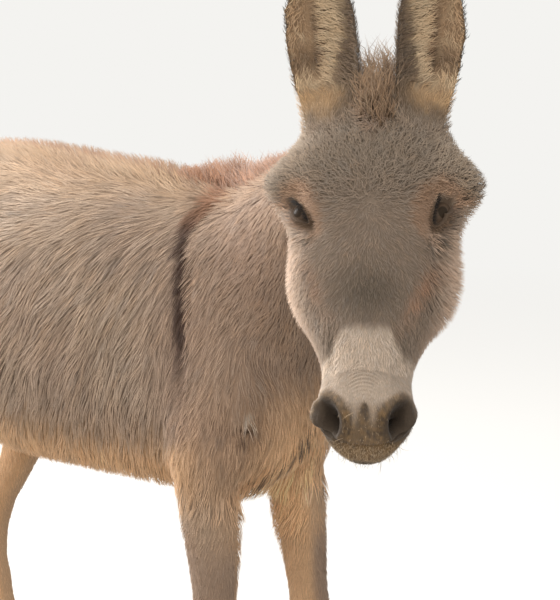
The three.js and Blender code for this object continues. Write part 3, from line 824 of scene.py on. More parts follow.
def hair_maps(points, normals, w):
    """The hair at each place: its length and width; wander, the scatter of the tufts round the lie, and lift,
    their rise from the skin, in radians; stay, the share of the lift left at the tip; and how pale the tip is,
    which paints rim light on the top of the back and the crest, the fringes of the cheeks, the edges of the
    ears and brows, the breast and the nape."""
    coat = sizes("coat")
    x, y, z = in_body(points).T
    a, l, o = in_head(points).T
    leg = w["foreleg"] + w["hindleg"]
    crest = (1 - ramp(crest_distance(points)[0], 0.015, 0.060)) * (w["trunk"] + w["neck"])
    top = np.maximum(ramp(normals[:, 2], 0.68, 0.95) * w["trunk"], crest)
    brow = ramp(0.185 - a, 0, 0.05) * ramp(o, -0.09, -0.05)
    cheek = ramp(-o, 0.02, 0.09)
    fluff = w["head"] * ramp(np.abs(l), 0.070, 0.095) * ramp(0.37 - a, 0, 0.10) * (1 + 0.35 * np.sign(l))
    fluff *= mix(0.3, 1.0, ramp(a, 0.13, 0.19))
    brow_edge = w["head"] * brow * ramp(np.abs(l), 0.060, 0.090)
    nape = w["neck"] * bell(y, -0.38, 0.10) * ramp(z, 1.0, 1.1)
    breast = w["trunk"] * ramp(0.68 - z, 0, 0.05) * ramp(-y, 0.06, 0.13)
    armpit = w["foreleg"] * ramp(z, 0.47, 0.56) * ramp(-normals[:, 0] * np.sign(x), 0.3, 0.8)
    _, across, *_ = ear_place(points, normals)
    inside = ear_inside(points, normals)
    # long on the ridge near the midline's edge, short in the hollow, and longer again on the outer wall
    spots = [-1, -0.8, -0.65, 0.0, 0.2, 0.4, 0.6, 1]
    fringe = np.interp(across, spots, [0.3, 0.4, 1, 0.9, 0.3, 0.4, 0.75, 0.5])
    shorter = 1 - 0.42 * ramp(-y, -0.06, 0.10) - 0.18 * ramp(z, 1.0, 1.1) - 0.25 * ramp(y, 0.6, 0.9)
    curls = (coat.forehead - coat.face) * brow
    fetlock = 0.008 * bell(z, 0.15, 0.03) * ramp(normals[:, 1], 0, 0.8)
    length = {
        "trunk": coat.flank * shorter + 0.024 * breast,
        "neck": coat.neck + 0.006 * crest,
        "head": coat.face + curls + 0.008 * cheek * ramp(0.33 - a, 0, 0.10) + 0.007 * fluff,
        "muzzle": coat.muzzle + 0.004 * ramp(0.43 - a, 0, 0.04),
        "ear": mix(coat.ear * (1 + 0.7 * bell(np.abs(across), 1, 0.2)), coat.ear_fringe * fringe, inside),
        "foreleg": coat.leg * (0.75 + 0.5 * ramp(z, 0.3, 0.6)) + fetlock + 0.018 * armpit,
        "tail": 0.030,
    }
    length["hindleg"] = length["foreleg"]
    length = sum(w[name] * values for name, values in length.items())
    for side in SIDES:
        far, past, above = eye_polar(in_head(points), side)
        lid = (1 - ramp(past, 10, mix(26, 44, ramp(above, -0.2, 0.5)))) * (1 - ramp(far, 0.045, 0.058))
        length *= 1 - 0.72 * np.maximum(lid, 0.8 * eye_stain(in_head(points), side))
    length *= 1 - 0.5 * folds(a, l) * w["muzzle"]
    edge = w["ear"] * bell(np.abs(across), 1, 0.25)
    wander = 0.15 + 0.08 * w["neck"] + 0.10 * w["head"] + 0.6 * w["head"] * brow + 0.22 * w["ear"]
    wander += 0.35 * top + 0.5 * w["head"] * bell(np.hypot(a - sizes("head").whorl, l), 0, 0.030)
    lift = coat.lift * (1 - 0.4 * leg - 0.3 * w["tail"] - 0.25 * w["trunk"])
    lift = lift + 0.45 * top + 0.2 * breast + 0.2 * armpit
    raised = 0.45 * w["head"] * brow + 0.35 * w["head"] * cheek + 0.3 * w["ear"] * inside
    lift += raised + 0.35 * fluff + 0.5 * edge
    return {
        "length": length,
        "width": 0.0008 + (0.032 - 0.008 * w["trunk"]) * length,
        "wander": wander,
        "lift": lift,
        "stay": np.clip(0.10 + 0.55 * top + 0.5 * fluff + 0.4 * edge + 0.3 * breast, 0, 1),
        # painted rim light on the tips
        "pale": np.clip(0.25 * top + 0.7 * fluff + edge + 0.3 * breast + 0.4 * brow_edge + 0.25 * nape, 0, 1),
    }


# ---- Skin ----


class DONKEY_OT_skin(bpy.types.Operator):
    """One skin over all the flesh, sculpted at the head, with the map of the coat on it"""

    bl_idname = "donkey.skin"
    bl_label = "Skin"

    def execute(self, context):
        skin = sizes("skin")
        item = joined_flesh(skin.voxel)
        mesh = item.data
        points = read(mesh, "vertices", "co", 3).astype(float)
        edges = read(mesh, "edges", "vertices", 2, np.int32)
        w = region_shares(mesh, edges)
        points = relax(points, edges, skin.smoothing, w @ ROUNDING)
        mesh.vertices.foreach_set("co", points.astype(np.float32).ravel())
        thin(item, np.clip(w @ FINENESS, 0, 1), skin.faces)
        refine(mesh, lambda p: self.near_detail(p, 1.35))
        refine(mesh, lambda p: self.near_detail(p, 1))
        self.finish(item)
        return {"FINISHED"}

    def near_detail(self, middles, reach):
        """True close to the eyes, the nostrils, the lips and the bridge of the nose."""
        places = in_head(middles)
        close = np.zeros(len(places), bool)
        for side in SIDES:
            far, past, _ = eye_polar(places, side)
            close |= (far < 0.042 * reach) & (past < 45 * reach)
            long, across, deep, _, _ = nostril_place(places, side)
            close |= (np.hypot(long, across) < 0.030 * reach) & (deep > -0.04)
        gap, there = mouth_gap(places)
        close |= (np.abs(gap) < 0.007 * reach) & (there > 0)
        bridge = (np.abs(places[:, 0] - 0.405) < 0.035 * reach) & (np.abs(places[:, 1]) < 0.03 * reach)
        return close | (bridge & (places[:, 2] > -0.03))

    def finish(self, item):
        """Sets the skin in by the coat's depth, sculpts the head, and stores the map of the coat."""
        mesh = item.data
        points = read(mesh, "vertices", "co", 3).astype(float)
        edges = read(mesh, "edges", "vertices", 2, np.int32)
        mesh.calc_loop_triangles()
        faces = read(mesh, "loop_triangles", "vertices", 3, np.int32)
        table = region_shares(mesh, edges, 10)
        w = dict(zip(REGIONS, table.T))
        normals = relax(corner_normals(points, faces), edges, 4)
        length = hair_maps(points, unit(normals), w)["length"]
        depth = sizes("skin").depth * relax(length, edges, 6)
        depth = np.where(w["ear"] > 0.5, np.minimum(depth, EAR_INSET), depth)
        points = points - unit(normals) * depth[:, None]
        places = shape_bridge(shape_mouth(shape_nostrils(shape_eyelids(in_head(points)))))
        on_head = (w["head"] + w["muzzle"])[:, None] > 0.02
        points = np.where(on_head, from_head(places), points)
        mesh.vertices.foreach_set("co", points.astype(np.float32).ravel())
        mesh.update()
        normals = corner_normals(points, faces)
        put(mesh, "lie", relax(lie_of_coat(points, normals, w), edges, 6), "FLOAT_VECTOR")
        put(mesh, "pelt", markings(points, normals, w), "FLOAT_COLOR")
        for name, values in hair_maps(points, normals, w).items():
            put(mesh, f"hair_{name}", values)
        for name in REGIONS:
            put(mesh, f"in_{name}", w[name])
        put(mesh, "bare", self.bareness(in_head(points), w))
        mesh.polygons.foreach_set("use_smooth", np.ones(len(mesh.polygons), bool))
        mesh.materials.clear()
        mesh.materials.append(hide_material())
        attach(item, "root")
        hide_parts(*FLESH)

    def bareness(self, places, w):
        """1 on the hairless skin in the nostrils, on the lips and at the edges of the lids."""
        bare = np.zeros(len(places))
        for side in SIDES:
            far, past, _ = eye_polar(places, side)
            bare = np.maximum(bare, (1 - ramp(past, 2, 7)) * (1 - ramp(far, 0.027, 0.034)))
            long, across, deep, _, _ = nostril_place(places, side)
            near = np.hypot(long / 0.031, across / np.where(across > 0, 0.032, 0.017))
            bare = np.maximum(bare, (1 - ramp(near, 0.8, 1.1)) * ramp(deep, -0.06, -0.04))
        gap, there = mouth_gap(places)
        bare = np.maximum(bare, bell(gap, 0, 0.005) * there)
        return bare * (w["head"] + w["muzzle"])


# ---- Tufts ----


class Hide:
    """The skin's corners, faces, normals and map of the hair, read back from its mesh."""

    def __init__(self):
        mesh = bpy.data.objects["Skin"].data
        mesh.calc_loop_triangles()
        self.points = read(mesh, "vertices", "co", 3).astype(float)
        self.faces = read(mesh, "loop_triangles", "vertices", 3, np.int32)
        self.normals = corner_normals(self.points, self.faces)
        self.lie = read(mesh, mesh.attributes["lie"].data, "vector", 3).astype(float)
        self.bare = self.map(mesh, "bare")
        self.w = {name: self.map(mesh, f"in_{name}") for name in REGIONS}
        self.hair = {name: self.map(mesh, f"hair_{name}") for name in HAIR}

    def map(self, mesh, name):
        """One number at each corner of the skin."""
        return read(mesh, mesh.attributes[name].data, "value", 1).astype(float)


class Roots:
    """Places spread over the skin, as many as asked, in proportion to a density at its corners."""

    def __init__(self, hide, density, count, seed):
        rng = np.random.default_rng(seed)
        a, b, c = (hide.points[hide.faces[:, i]] for i in range(3))
        area = np.linalg.norm(np.cross(b - a, c - a), axis=1) / 2
        upto = np.cumsum(area * density[hide.faces].mean(1))
        picks = (np.arange(count) + rng.random(count)) / count * upto[-1]
        self.corner = hide.faces[np.minimum(np.searchsorted(upto, picks), len(upto) - 1)]
        u, v = rng.random((2, count))
        u, v = np.where(u + v > 1, 1 - u, u), np.where(u + v > 1, 1 - v, v)
        self.share = np.stack([1 - u - v, u, v], 1)
        self.rng = rng
        self.count = count
        self.point = self.at(hide.points)
        self.normal = unit(self.at(hide.normals))
        self.lie = self.at(hide.lie)
        for name in HAIR:
            setattr(self, name, self.at(hide.hair[name]))
        self.w = {name: self.at(values) for name, values in hide.w.items()}
        self.pelt = markings(self.point, self.normal, self.w)

    def at(self, values):
        """The values of the skin's corners, blended at each root."""
        return np.einsum("nk,nk...->n...", self.share, values[self.corner])


def locks(points, spacing, seed):
    """A number for each root, shared by its neighbours in one lock: cells of a lattice bent by noise."""
    bent = points + spacing * 0.8 * np.stack([noise(points, 2.2 * spacing, seed + k) for k in range(3)], 1)
    cell = np.floor(bent / spacing).astype(np.int64)
    _, lock = np.unique(cell, axis=0, return_inverse=True)
    return lock.reshape(-1)


def lock_mean(values, lock):
    """The mean of each lock's rows, for each of its members."""
    count = np.bincount(lock)
    total = np.stack([np.bincount(lock, values[:, k]) for k in range(values.shape[1])], 1)
    return (total / count[:, None])[lock]


def spines(roots, rings, gather, spacing, wave, seed):
    """The middle line of each tuft, from root to tip. It leaves the skin at its lift and bends to a share of
    it, along a lie that is turned at random and by noise a few locks wide. It sways from side to side by a
    sine that grows towards the tip, and is drawn to the mean tip of its lock. Also gives the way across each
    tuft, and its lock."""
    rng = roots.rng
    n = roots.count
    bend = noise(roots.point, 3 * spacing, seed + 5) + 0.6 * noise(roots.point, spacing, seed + 6)
    turn = roots.wander * rng.standard_normal(n) + min(0.35, 7 * wave) * bend
    side = np.cross(roots.lie, roots.normal)
    along = unit(roots.lie * np.cos(turn)[:, None] + side * np.sin(turn)[:, None])
    along = unit(along - (along * roots.normal).sum(1)[:, None] * roots.normal)
    across = np.cross(along, roots.normal)
    uneven = rng.uniform(0.75, 1.2, n)
    s = np.linspace(0, 1, rings + 1)
    slope = (roots.lift * uneven)[:, None] * (1 - (1 - roots.stay[:, None]) * s[None, :-1])
    step = (roots.length / rings)[:, None]
    forward = np.hstack([np.zeros((n, 1)), np.cumsum(step * np.cos(slope), 1)])
    rise = np.hstack([np.zeros((n, 1)), np.cumsum(step * np.sin(slope), 1)])
    sway = wave * roots.length[:, None] * np.sin(2 * np.pi * (rng.random((n, 1)) + 0.9 * s[None])) * s[None]
    root = roots.point - SUNK * roots.length[:, None] * roots.normal
    line = (
        root[:, None]
        + forward[..., None] * along[:, None]
        + rise[..., None] * roots.normal[:, None]
        + sway[..., None] * across[:, None]
    )
    lock = locks(roots.point, spacing, seed)
    tip = line[:, -1]
    pull = gather * (lock_mean(tip, lock) - tip)
    line += pull[:, None] * (s**1.5)[None, :, None]
    return line, across, lock


def unwrap(points, charts):
    """Each root's place on an unwrap of the skin: the turn round its chart's middle line, and the share of
    the way along it. The line runs through the mean of the roots in each band, and the charts stand side by
    side."""
    place = np.zeros((len(points), 2))
    for column, (mine, axis, middle) in enumerate(charts):
        p = points[mine]
        t = p @ axis
        low, high = t.min(), t.max() + 1e-9
        bins = np.clip(((t - low) / (high - low) * BANDS).astype(int), 0, BANDS - 1)
        count = np.bincount(bins, minlength=BANDS)
        line = np.stack([np.bincount(bins, p[:, k], BANDS) / np.maximum(count, 1) for k in range(3)], 1)
        held = count > 0
        spots = low + (np.arange(BANDS) + 0.5) / BANDS * (high - low)
        centre = np.stack([np.interp(t, spots[held], line[held, k]) for k in range(3)], 1)
        side = unit(np.cross(axis, middle))
        front = np.cross(side, axis)
        off = p - centre
        turn = np.arctan2(off @ side, off @ front) / (2 * np.pi) + 0.5
        place[mine, 0] = (column + 0.04 + 0.92 * turn) / len(charts)
        place[mine, 1] = 0.02 + 0.96 * (t - low) / (high - low)
    return place


def closed_tufts(line, normal, across, width):
    """Closed three-cornered tufts along the spines. The half width at share s of the length is (1 - s)^0.6
    of the root's, with a waist at the root itself, and the ridge stands a little higher than that. The
    shading normals lean to the skin's. Also gives each corner's share of the length and place across."""
    n, stops, _ = line.shape
    rings = stops - 1
    s = np.linspace(0, 1, stops)[:-1]
    half = 0.5 * width[:, None] * (1 - s[None]) ** 0.6 * np.where(s == 0, 0.7, 1)[None]
    along = unit(np.diff(line, axis=1))
    above = unit(np.cross(across[:, None], along))
    beside = np.cross(along, above)
    left = line[:, :-1] + half[..., None] * beside
    right = line[:, :-1] - half[..., None] * beside
    top = line[:, :-1] + RIDGE * half[..., None] * above
    body = np.stack([left, right, top], 2).reshape(n, 3 * rings, 3)
    points = np.concatenate([body, line[:, -1:]], 1)
    skin_normal = normal[:, None, None]
    radial = np.stack([0.9 * beside - 0.2 * above, -0.9 * beside - 0.2 * above, above], 2)
    shade = unit(SOFT * skin_normal + (1 - SOFT) * radial).reshape(n, 3 * rings, 3)
    tip_shade = unit(SOFT * normal + (1 - SOFT) * above[:, -1])[:, None]
    shade = np.concatenate([shade, tip_shade], 1)
    sides = ((0, 1), (1, 2), (2, 0))
    tuft = []
    for b in range(0, 3 * (rings - 1), 3):
        for p, q in sides:
            tuft += [(b + p, b + q, b + 3 + q), (b + p, b + 3 + q, b + 3 + p)]
    last, tip = 3 * (rings - 1), 3 * rings
    tuft += [(last + p, last + q, tip) for p, q in sides] + [(0, 2, 1)]
    faces = (np.arange(n)[:, None, None] * (tip + 1) + np.array(tuft)[None]).reshape(-1, 3)
    share_along = np.append(np.repeat(s, 3), 1.0)
    across_share = np.append(np.tile([-0.5, 0.5, 0], rings), 0.0)
    return points, faces, shade, share_along, across_share


def grow(name, roots, charts, finish, slot, rings=2, gather=0.5, spacing=0.014,
         wave=0.05, seed=0, shaded_root_tone=0.95, lit_tip_tone=1.42, streaks=0.0, nodes=()):
    """Makes tufts at the roots, colours them from root to tip, with long streaks along the lie of the hair, and
    stores them in pieces of the coat. The root is darker as painted shade deep in the coat and the tip paler as
    painted light, more so where the pale map paints rim light. Tones above 1 brighten the coat as painted light
    against its own shadowing. gather is how far a lock's tips close up, spacing is the width of a lock, wave is
    the sway as a share of the length, and the tones are the brightness of the shaded root and the lit tip."""
    line, across, lock = spines(roots, rings, gather, spacing, wave, seed)
    rng = roots.rng
    tone = 1 + 0.08 * rng.standard_normal(roots.count) + 0.05 * rng.standard_normal(lock.max() + 1)[lock]
    ahead = np.linspace(-0.06, 0.06, 7)
    tone += streaks * sum(noise(roots.point + s * roots.lie, 0.010, 40) for s in ahead) / 2.6
    warmth = 0.02 * rng.standard_normal(lock.max() + 1)[lock]
    hair = roots.pelt * np.clip(tone, 0.6, 1.4)[:, None] * (1 + np.outer(warmth, [1, 0, -1.2]))
    place = unwrap(roots.point, charts)
    triangles = 6 * (rings - 1) + 4
    batch = MOST_TRIANGLES // triangles
    order = np.arange(roots.count)
    if roots.count > batch:
        order = np.argsort(roots.point[:, 1], kind="stable")
    parts = np.array_split(order, int(np.ceil(roots.count / batch)))
    for part, picked in enumerate(parts):
        points, faces, shade, s, u = closed_tufts(
            line[picked], roots.normal[picked], across[picked], roots.width[picked]
        )
        title = name if len(parts) == 1 else f"{name}_{part + 1}"
        mesh = build_mesh(title, points.reshape(-1, 3), faces)
        # painted shade darkens each tuft towards its root, and painted light brightens it towards the tip
        rise = lit_tip_tone + RIM_LIGHT * roots.pale[picked, None] - shaded_root_tone
        pelt = np.clip(hair[picked][:, None] * (shaded_root_tone + rise * s)[..., None], 0, 1)
        put(mesh, "pelt", pelt.reshape(-1, 3), "FLOAT_COLOR")
        patch = PATCH * np.stack([u, s - 0.5], 1)
        uv = (place[picked][:, None] + patch[None]).reshape(-1, 2)
        layer = mesh.uv_layers.new(name="OFBake")
        loops = read(mesh, "loops", "vertex_index", 1, np.int32)
        layer.uv.foreach_set("vector", uv[loops].astype(np.float32).ravel())
        put(mesh, "custom_normal", shade.reshape(-1, 3), "FLOAT_VECTOR")
        piece(title, mesh, finish, slot, *(nodes if part == 0 else ()))


# ---- Materials ----

# the size of each pattern, in metres, drawn a little coarser than life where it would be too fine to show
GRAIN = 0.0025  # changes of shade along a tuft
STRAND = 0.003  # mottling of the hide between the roots
PEBBLE = 0.0016  # the grain of bare skin
FIBRE = 0.0015  # upright fibres in the horn
GROWTH = 0.012  # gives rings about 4 mm apart, as a wave's bands lie at a third of its scale


def material(name):
    """An empty node material."""
    made = bpy.data.materials.new(name)
    made.use_nodes = True
    made.node_tree.nodes.clear()
    return made


def node(tree, kind, settings=None, **links):
    """Adds a node. settings go to its properties or sockets, and links join its sockets to other outputs."""
    added = tree.nodes.new(kind)
    for key, value in (settings or {}).items():
        if hasattr(added, key):
            setattr(added, key, value)
        else:
            added.inputs[key].default_value = value
    for key, source in links.items():
        tree.links.new(source, added.inputs[key.replace("_", " ")])
    return added


def hair_material(name, roughness, sheen):
    """Keratin hair, dull and a little furry at the edges. Its colour is on each tuft, and a fine noise
    of about a hair's width breaks it up."""
    made = material(name)
    tree = made.node_tree
    pelt = node(tree, "ShaderNodeAttribute", {"attribute_name": "pelt"})
    place = node(tree, "ShaderNodeTexCoord").outputs["Object"]
    grain = node(tree, "ShaderNodeTexNoise", {"Scale": 1 / GRAIN, "Detail": 1.0}, Vector=place)
    level = node(tree, "ShaderNodeMapRange", {"To Min": 0.86, "To Max": 1.14}, Value=grain.outputs["Fac"])
    tint = node(
        tree,
        "ShaderNodeVectorMath",
        {"operation": "SCALE"},
        Vector=pelt.outputs["Color"],
        Scale=level.outputs[0],
    )
    shader = node(
        tree,
        "ShaderNodeBsdfPrincipled",
        {
            "Roughness": roughness,
            "Sheen Weight": sheen,
            "Sheen Roughness": 0.45,
            "IOR": 1.5,
            "Specular IOR Level": 0.3,
        },
        Base_Color=tint.outputs[0],
    )
    node(tree, "ShaderNodeOutputMaterial", Surface=shader.outputs[0])
    return made


def hide_material():
    """Hide under the coat: the same colours, darker and mottled between the roots, and pebbled, slightly
    moist leather where it is bare."""
    made = material("Hide")
    tree = made.node_tree
    pelt = node(tree, "ShaderNodeAttribute", {"attribute_name": "pelt"})
    bare = node(tree, "ShaderNodeAttribute", {"attribute_name": "bare"})
    place = node(tree, "ShaderNodeTexCoord").outputs["Object"]
    mottling = {"Scale": 1 / STRAND, "Detail": 3.0, "Roughness": 0.6}
    strands = node(tree, "ShaderNodeTexNoise", mottling, Vector=place)
    pebbles = node(tree, "ShaderNodeTexVoronoi", {"Scale": 1 / PEBBLE}, Vector=place)
    level = node(tree, "ShaderNodeMapRange", {"To Min": 0.62, "To Max": 1.12}, Value=strands.outputs["Fac"])
    tint = node(
        tree,
        "ShaderNodeVectorMath",
        {"operation": "SCALE"},
        Vector=pelt.outputs["Color"],
        Scale=level.outputs[0],
    )
    height = node(tree, "ShaderNodeMix", {"data_type": "FLOAT"})
    tree.links.new(bare.outputs["Fac"], height.inputs[0])
    tree.links.new(strands.outputs["Fac"], height.inputs[2])
    tree.links.new(pebbles.outputs["Distance"], height.inputs[3])
    bump = node(tree, "ShaderNodeBump", {"Strength": 0.5, "Distance": 0.0012}, Height=height.outputs[0])
    rough = node(tree, "ShaderNodeMapRange", {"To Min": 0.9, "To Max": 0.6}, Value=bare.outputs["Fac"])
    shader = node(
        tree,
        "ShaderNodeBsdfPrincipled",
        {"IOR": 1.45, "Specular IOR Level": 0.18, "Sheen Weight": 0.1},
        Base_Color=tint.outputs[0],
        Roughness=rough.outputs[0],
        Normal=bump.outputs[0],
    )
    node(tree, "ShaderNodeOutputMaterial", Surface=shader.outputs[0])
    return made


def horn_material():
    """Hoof horn: dull grey-brown keratin with fine growth rings and upright fibres."""
    made = material("Hoof horn")
    tree = made.node_tree
    place = node(tree, "ShaderNodeTexCoord").outputs["Object"]
    bands = {"bands_direction": "Z", "Scale": 1 / GROWTH, "Distortion": 1.5}
    rings = node(tree, "ShaderNodeTexWave", bands, Vector=place)
    stretched = node(tree, "ShaderNodeMapping", {"Scale": (1, 1, 0.08)}, Vector=place)
    fibres = node(tree, "ShaderNodeTexNoise", {"Scale": 1 / FIBRE, "Detail": 2.0}, Vector=stretched.outputs[0])
    ramp_node = node(tree, "ShaderNodeValToRGB", Fac=fibres.outputs["Fac"])
    ramp_node.color_ramp.elements[0].color = (*linear("3a312a"), 1)
    ramp_node.color_ramp.elements[1].color = (*linear("6e6152"), 1)
    height = node(tree, "ShaderNodeMath", {"operation": "ADD"})
    tree.links.new(rings.outputs["Fac"], height.inputs[0])
    tree.links.new(fibres.outputs["Fac"], height.inputs[1])
    bump = node(tree, "ShaderNodeBump", {"Strength": 0.4, "Distance": 0.0008}, Height=height.outputs[0])
    shader = node(
        tree,
        "ShaderNodeBsdfPrincipled",
        {"Roughness": 0.55, "IOR": 1.54},
        Base_Color=ramp_node.outputs[0],
        Normal=bump.outputs[0],
    )
    node(tree, "ShaderNodeOutputMaterial", Surface=shader.outputs[0])
    return made


def eye_material():
    """Wet cornea over a brown iris, a dark pupil lying across it, and a paler rim. The share called iris is 0
    on the eye's axis and 1 at its sides."""
    made = material("Wet eye")
    tree = made.node_tree
    across = node(tree, "ShaderNodeAttribute", {"attribute_name": "iris"})
    ramp_node = node(tree, "ShaderNodeValToRGB", Fac=across.outputs["Fac"])
    elements = ramp_node.color_ramp.elements
    elements[0].position, elements[0].color = 0.30, (*linear("33291f"), 1)
    elements[1].position, elements[1].color = 0.36, (*linear("57473a"), 1)
    elements.new(0.62).color = (*linear("4f4033"), 1)
    elements.new(0.70).color = (*linear("66574a"), 1)
    shader = node(
        tree,
        "ShaderNodeBsdfPrincipled",
        {"Roughness": 0.35, "IOR": 1.38, "Specular IOR Level": 0.1},
        Base_Color=ramp_node.outputs[0],
    )
    node(tree, "ShaderNodeOutputMaterial", Surface=shader.outputs[0])
    return made


# ---- Operators for the coat ----


def body_charts(roots, names):
    """Unwrap charts for the parts that these roots stand on: which roots each one takes, the axis that it
    runs along, and the way that its middle faces."""
    _, (along, leftward, out) = head_frame()
    x = in_body(roots.point)[:, 0]
    l = in_head(roots.point)[:, 1]
    strongest = np.stack([roots.w[name] for name in REGIONS], 1).argmax(1)
    part = np.array(list(REGIONS))[strongest]
    inside = ear_inside(roots.point, roots.normal) > 0.5
    whole = np.ones(roots.count, bool)
    axes = {
        "trunk": ((0, 1, 0), (0, 0, 1)),
        "neck": ((-0.1, -0.75, 0.35), (0, 0, 1)),
        "head": (along, out),
        "muzzle": (along, out),
        "ear": (ear_axis("left"), np.cross(leftward, UP)),
        "foreleg": ((0, 0, 1), (0, -1, 0)),
        "hindleg": ((0, 0, 1), (0, -1, 0)),
        "tail": ((0, 0, 1), (0, 1, 0)),
    }
    left_and_right = [x > 0, x <= 0]
    splits = {
        "ear": [(l > 0) & inside, (l > 0) & ~inside, (l <= 0) & inside, (l <= 0) & ~inside],
        "foreleg": left_and_right,
        "hindleg": left_and_right,
    }
    charts = []
    for name in names:
        axis, middle = (unit(np.array(v, float)) for v in axes[name])
        chosen = [(part == name) & half for half in splits.get(name, [whole])]
        charts += [(mine, axis, middle) for mine in chosen if mine.any()]
    # the first chart also takes the roots near a border whose strongest region isn't named
    other = ~np.any([mine for mine, _, _ in charts], axis=0)
    charts[0] = (charts[0][0] | other, *charts[0][1:])
    return charts


class DONKEY_OT_body_coat(bpy.types.Operator):
    """Shaggy hair on the trunk and the neck"""

    bl_idname = "donkey.body_coat"
    bl_label = "Body coat"

    def execute(self, context):
        hide = Hide()
        hair = hair_material("Winter hair", 0.72, 0.25)
        trunk = Roots(hide, (hide.w["trunk"] > 0.5) * 1.0, TUFTS["trunk"], 11)
        grow("coat_trunk", trunk, body_charts(trunk, ["trunk"]), hair, "coat", gather=0.55, spacing=0.018,
             seed=21, shaded_root_tone=1.10, lit_tip_tone=1.30, streaks=0.30)
        neck = Roots(hide, (hide.w["neck"] > 0.5) * 1.0, TUFTS["neck"], 12)
        grow("coat_neck", neck, body_charts(neck, ["neck"]), hair, "coat", gather=0.4, spacing=0.011, seed=22,
             shaded_root_tone=1.0, streaks=0.10)
        return {"FINISHED"}


class DONKEY_OT_leg_coat(bpy.types.Operator):
    """Hair down the legs and over the dock of the tail"""

    bl_idname = "donkey.leg_coat"
    bl_label = "Leg coat"

    def execute(self, context):
        hide = Hide()
        hair = hair_material("Leg hair", 0.75, 0.2)
        on = hide.w["foreleg"] + hide.w["hindleg"] + hide.w["tail"]
        roots = Roots(hide, (on >= 0.5) * 1.0, TUFTS["legs"], 13)
        charts = body_charts(roots, ["foreleg", "hindleg", "tail"])
        grow("coat_legs", roots, charts, hair, "coat", gather=0.35, spacing=0.009, seed=23,
             shaded_root_tone=1.0, lit_tip_tone=1.32, streaks=0.08)
        return {"FINISHED"}


class DONKEY_OT_head_coat(bpy.types.Operator):
    """Short hair on the face, curls over the brows, velvet on the muzzle, whiskers and eyelashes"""

    bl_idname = "donkey.head_coat"
    bl_label = "Head coat"

    def execute(self, context):
        hide = Hide()
        hair = hair_material("Face hair", 0.75, 0.2)
        clad = (hide.w["head"] > 0.5) * (1 - hide.bare)
        a = in_head(hide.points)[:, 0]
        curls = Roots(hide, clad * (1 - ramp(a, 0.13, 0.18)), TUFTS["forehead"], 14)
        grow("coat_forehead", curls, body_charts(curls, ["head"]), hair, "coat", rings=3, gather=0.45,
             spacing=0.009, wave=0.24, seed=24, shaded_root_tone=0.98, lit_tip_tone=1.48)
        face = Roots(hide, clad * (0.12 + ramp(a, 0.13, 0.18)), TUFTS["face"], 15)
        grow("coat_face", face, body_charts(face, ["head"]), hair, "coat", gather=0.3, spacing=0.006, wave=0.10,
             seed=25, shaded_root_tone=1.0, lit_tip_tone=1.38)
        velvet = (hide.w["muzzle"] > 0.5) * np.clip(1 - hide.bare, 0, 1) ** 2
        muzzle = Roots(hide, velvet, TUFTS["muzzle"], 16)
        grow("coat_muzzle", muzzle, body_charts(muzzle, ["muzzle"]), hair, "muzzle", rings=1, gather=0.1,
             spacing=0.004, seed=26, shaded_root_tone=0.95, lit_tip_tone=1.22)
        self.whiskers(hide, hair)
        self.lashes(hide, hair)
        return {"FINISHED"}

    def whiskers(self, hide, hair):
        """Short pale bristles all over the chin and lips, with a few long whiskers among them."""
        a, _, _ = in_head(hide.points).T
        low = ramp(-mouth_gap(in_head(hide.points))[0], -0.012, 0.006) * ramp(a, 0.43, 0.46)
        clear = (hide.w["muzzle"] > 0.5) * (1 - hide.bare)
        count = TUFTS["whiskers"]
        roots = Roots(hide, clear * (0.10 * ramp(a, 0.43, 0.46) + low), count, 17)
        rng = roots.rng
        is_whisker = rng.random(count) > 0.972
        whisker, bristle = rng.uniform(0.012, 0.024, count), rng.uniform(0.0025, 0.0055, count)
        roots.length = np.where(is_whisker, whisker, bristle)
        roots.width[:] = 0.0007
        roots.lift[:] = 0.85
        roots.stay[:] = 0.5
        roots.wander[:] = 0.8
        roots.pelt = mix(roots.pelt, np.array(sizes("colours").ear_inside), 0.75)
        grow("whiskers", roots, body_charts(roots, ["muzzle"]), hair, "muzzle", rings=2, gather=0,
             wave=0.08, seed=27, shaded_root_tone=1.0, lit_tip_tone=1.3)

    def lashes(self, hide, hair):
        """Dark lashes that stand out and down from the upper lids."""
        places = in_head(hide.points)
        on = np.zeros(len(places))
        for side in SIDES:
            far, past, above = eye_polar(places, side)
            on += bell(past, 1.5, 1.6) * ramp(above, 0.05, 0.3) * (far < 0.03)
        roots = Roots(hide, on, TUFTS["lashes"], 18)
        _, axes = head_frame()
        left_half = in_head(roots.point)[:, 1:2] > 0
        left, right = (eye_axes(side) for side in SIDES)
        look, short = (np.where(left_half, left[k] @ axes, right[k] @ axes) for k in (1, 3))
        centres = [np.mean(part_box(f"eye_{side}"), axis=0) for side in SIDES]
        out = unit(roots.point - np.where(left_half, *centres))
        roots.normal = unit(out + 0.5 * look)
        roots.lie = unit(-short + 0.3 * look)
        roots.length = roots.rng.uniform(0.008, 0.013, roots.count)
        roots.width[:] = 0.0007
        roots.lift[:] = 1.15
        roots.stay[:] = 0.3
        roots.pale[:] = 0
        roots.wander[:] = 0.2
        roots.pelt[:] = linear("1d1713")
        grow("lashes", roots, body_charts(roots, ["head"]), hair, "coat", rings=2, gather=0, wave=0.02,
             seed=28, shaded_root_tone=1, lit_tip_tone=1)


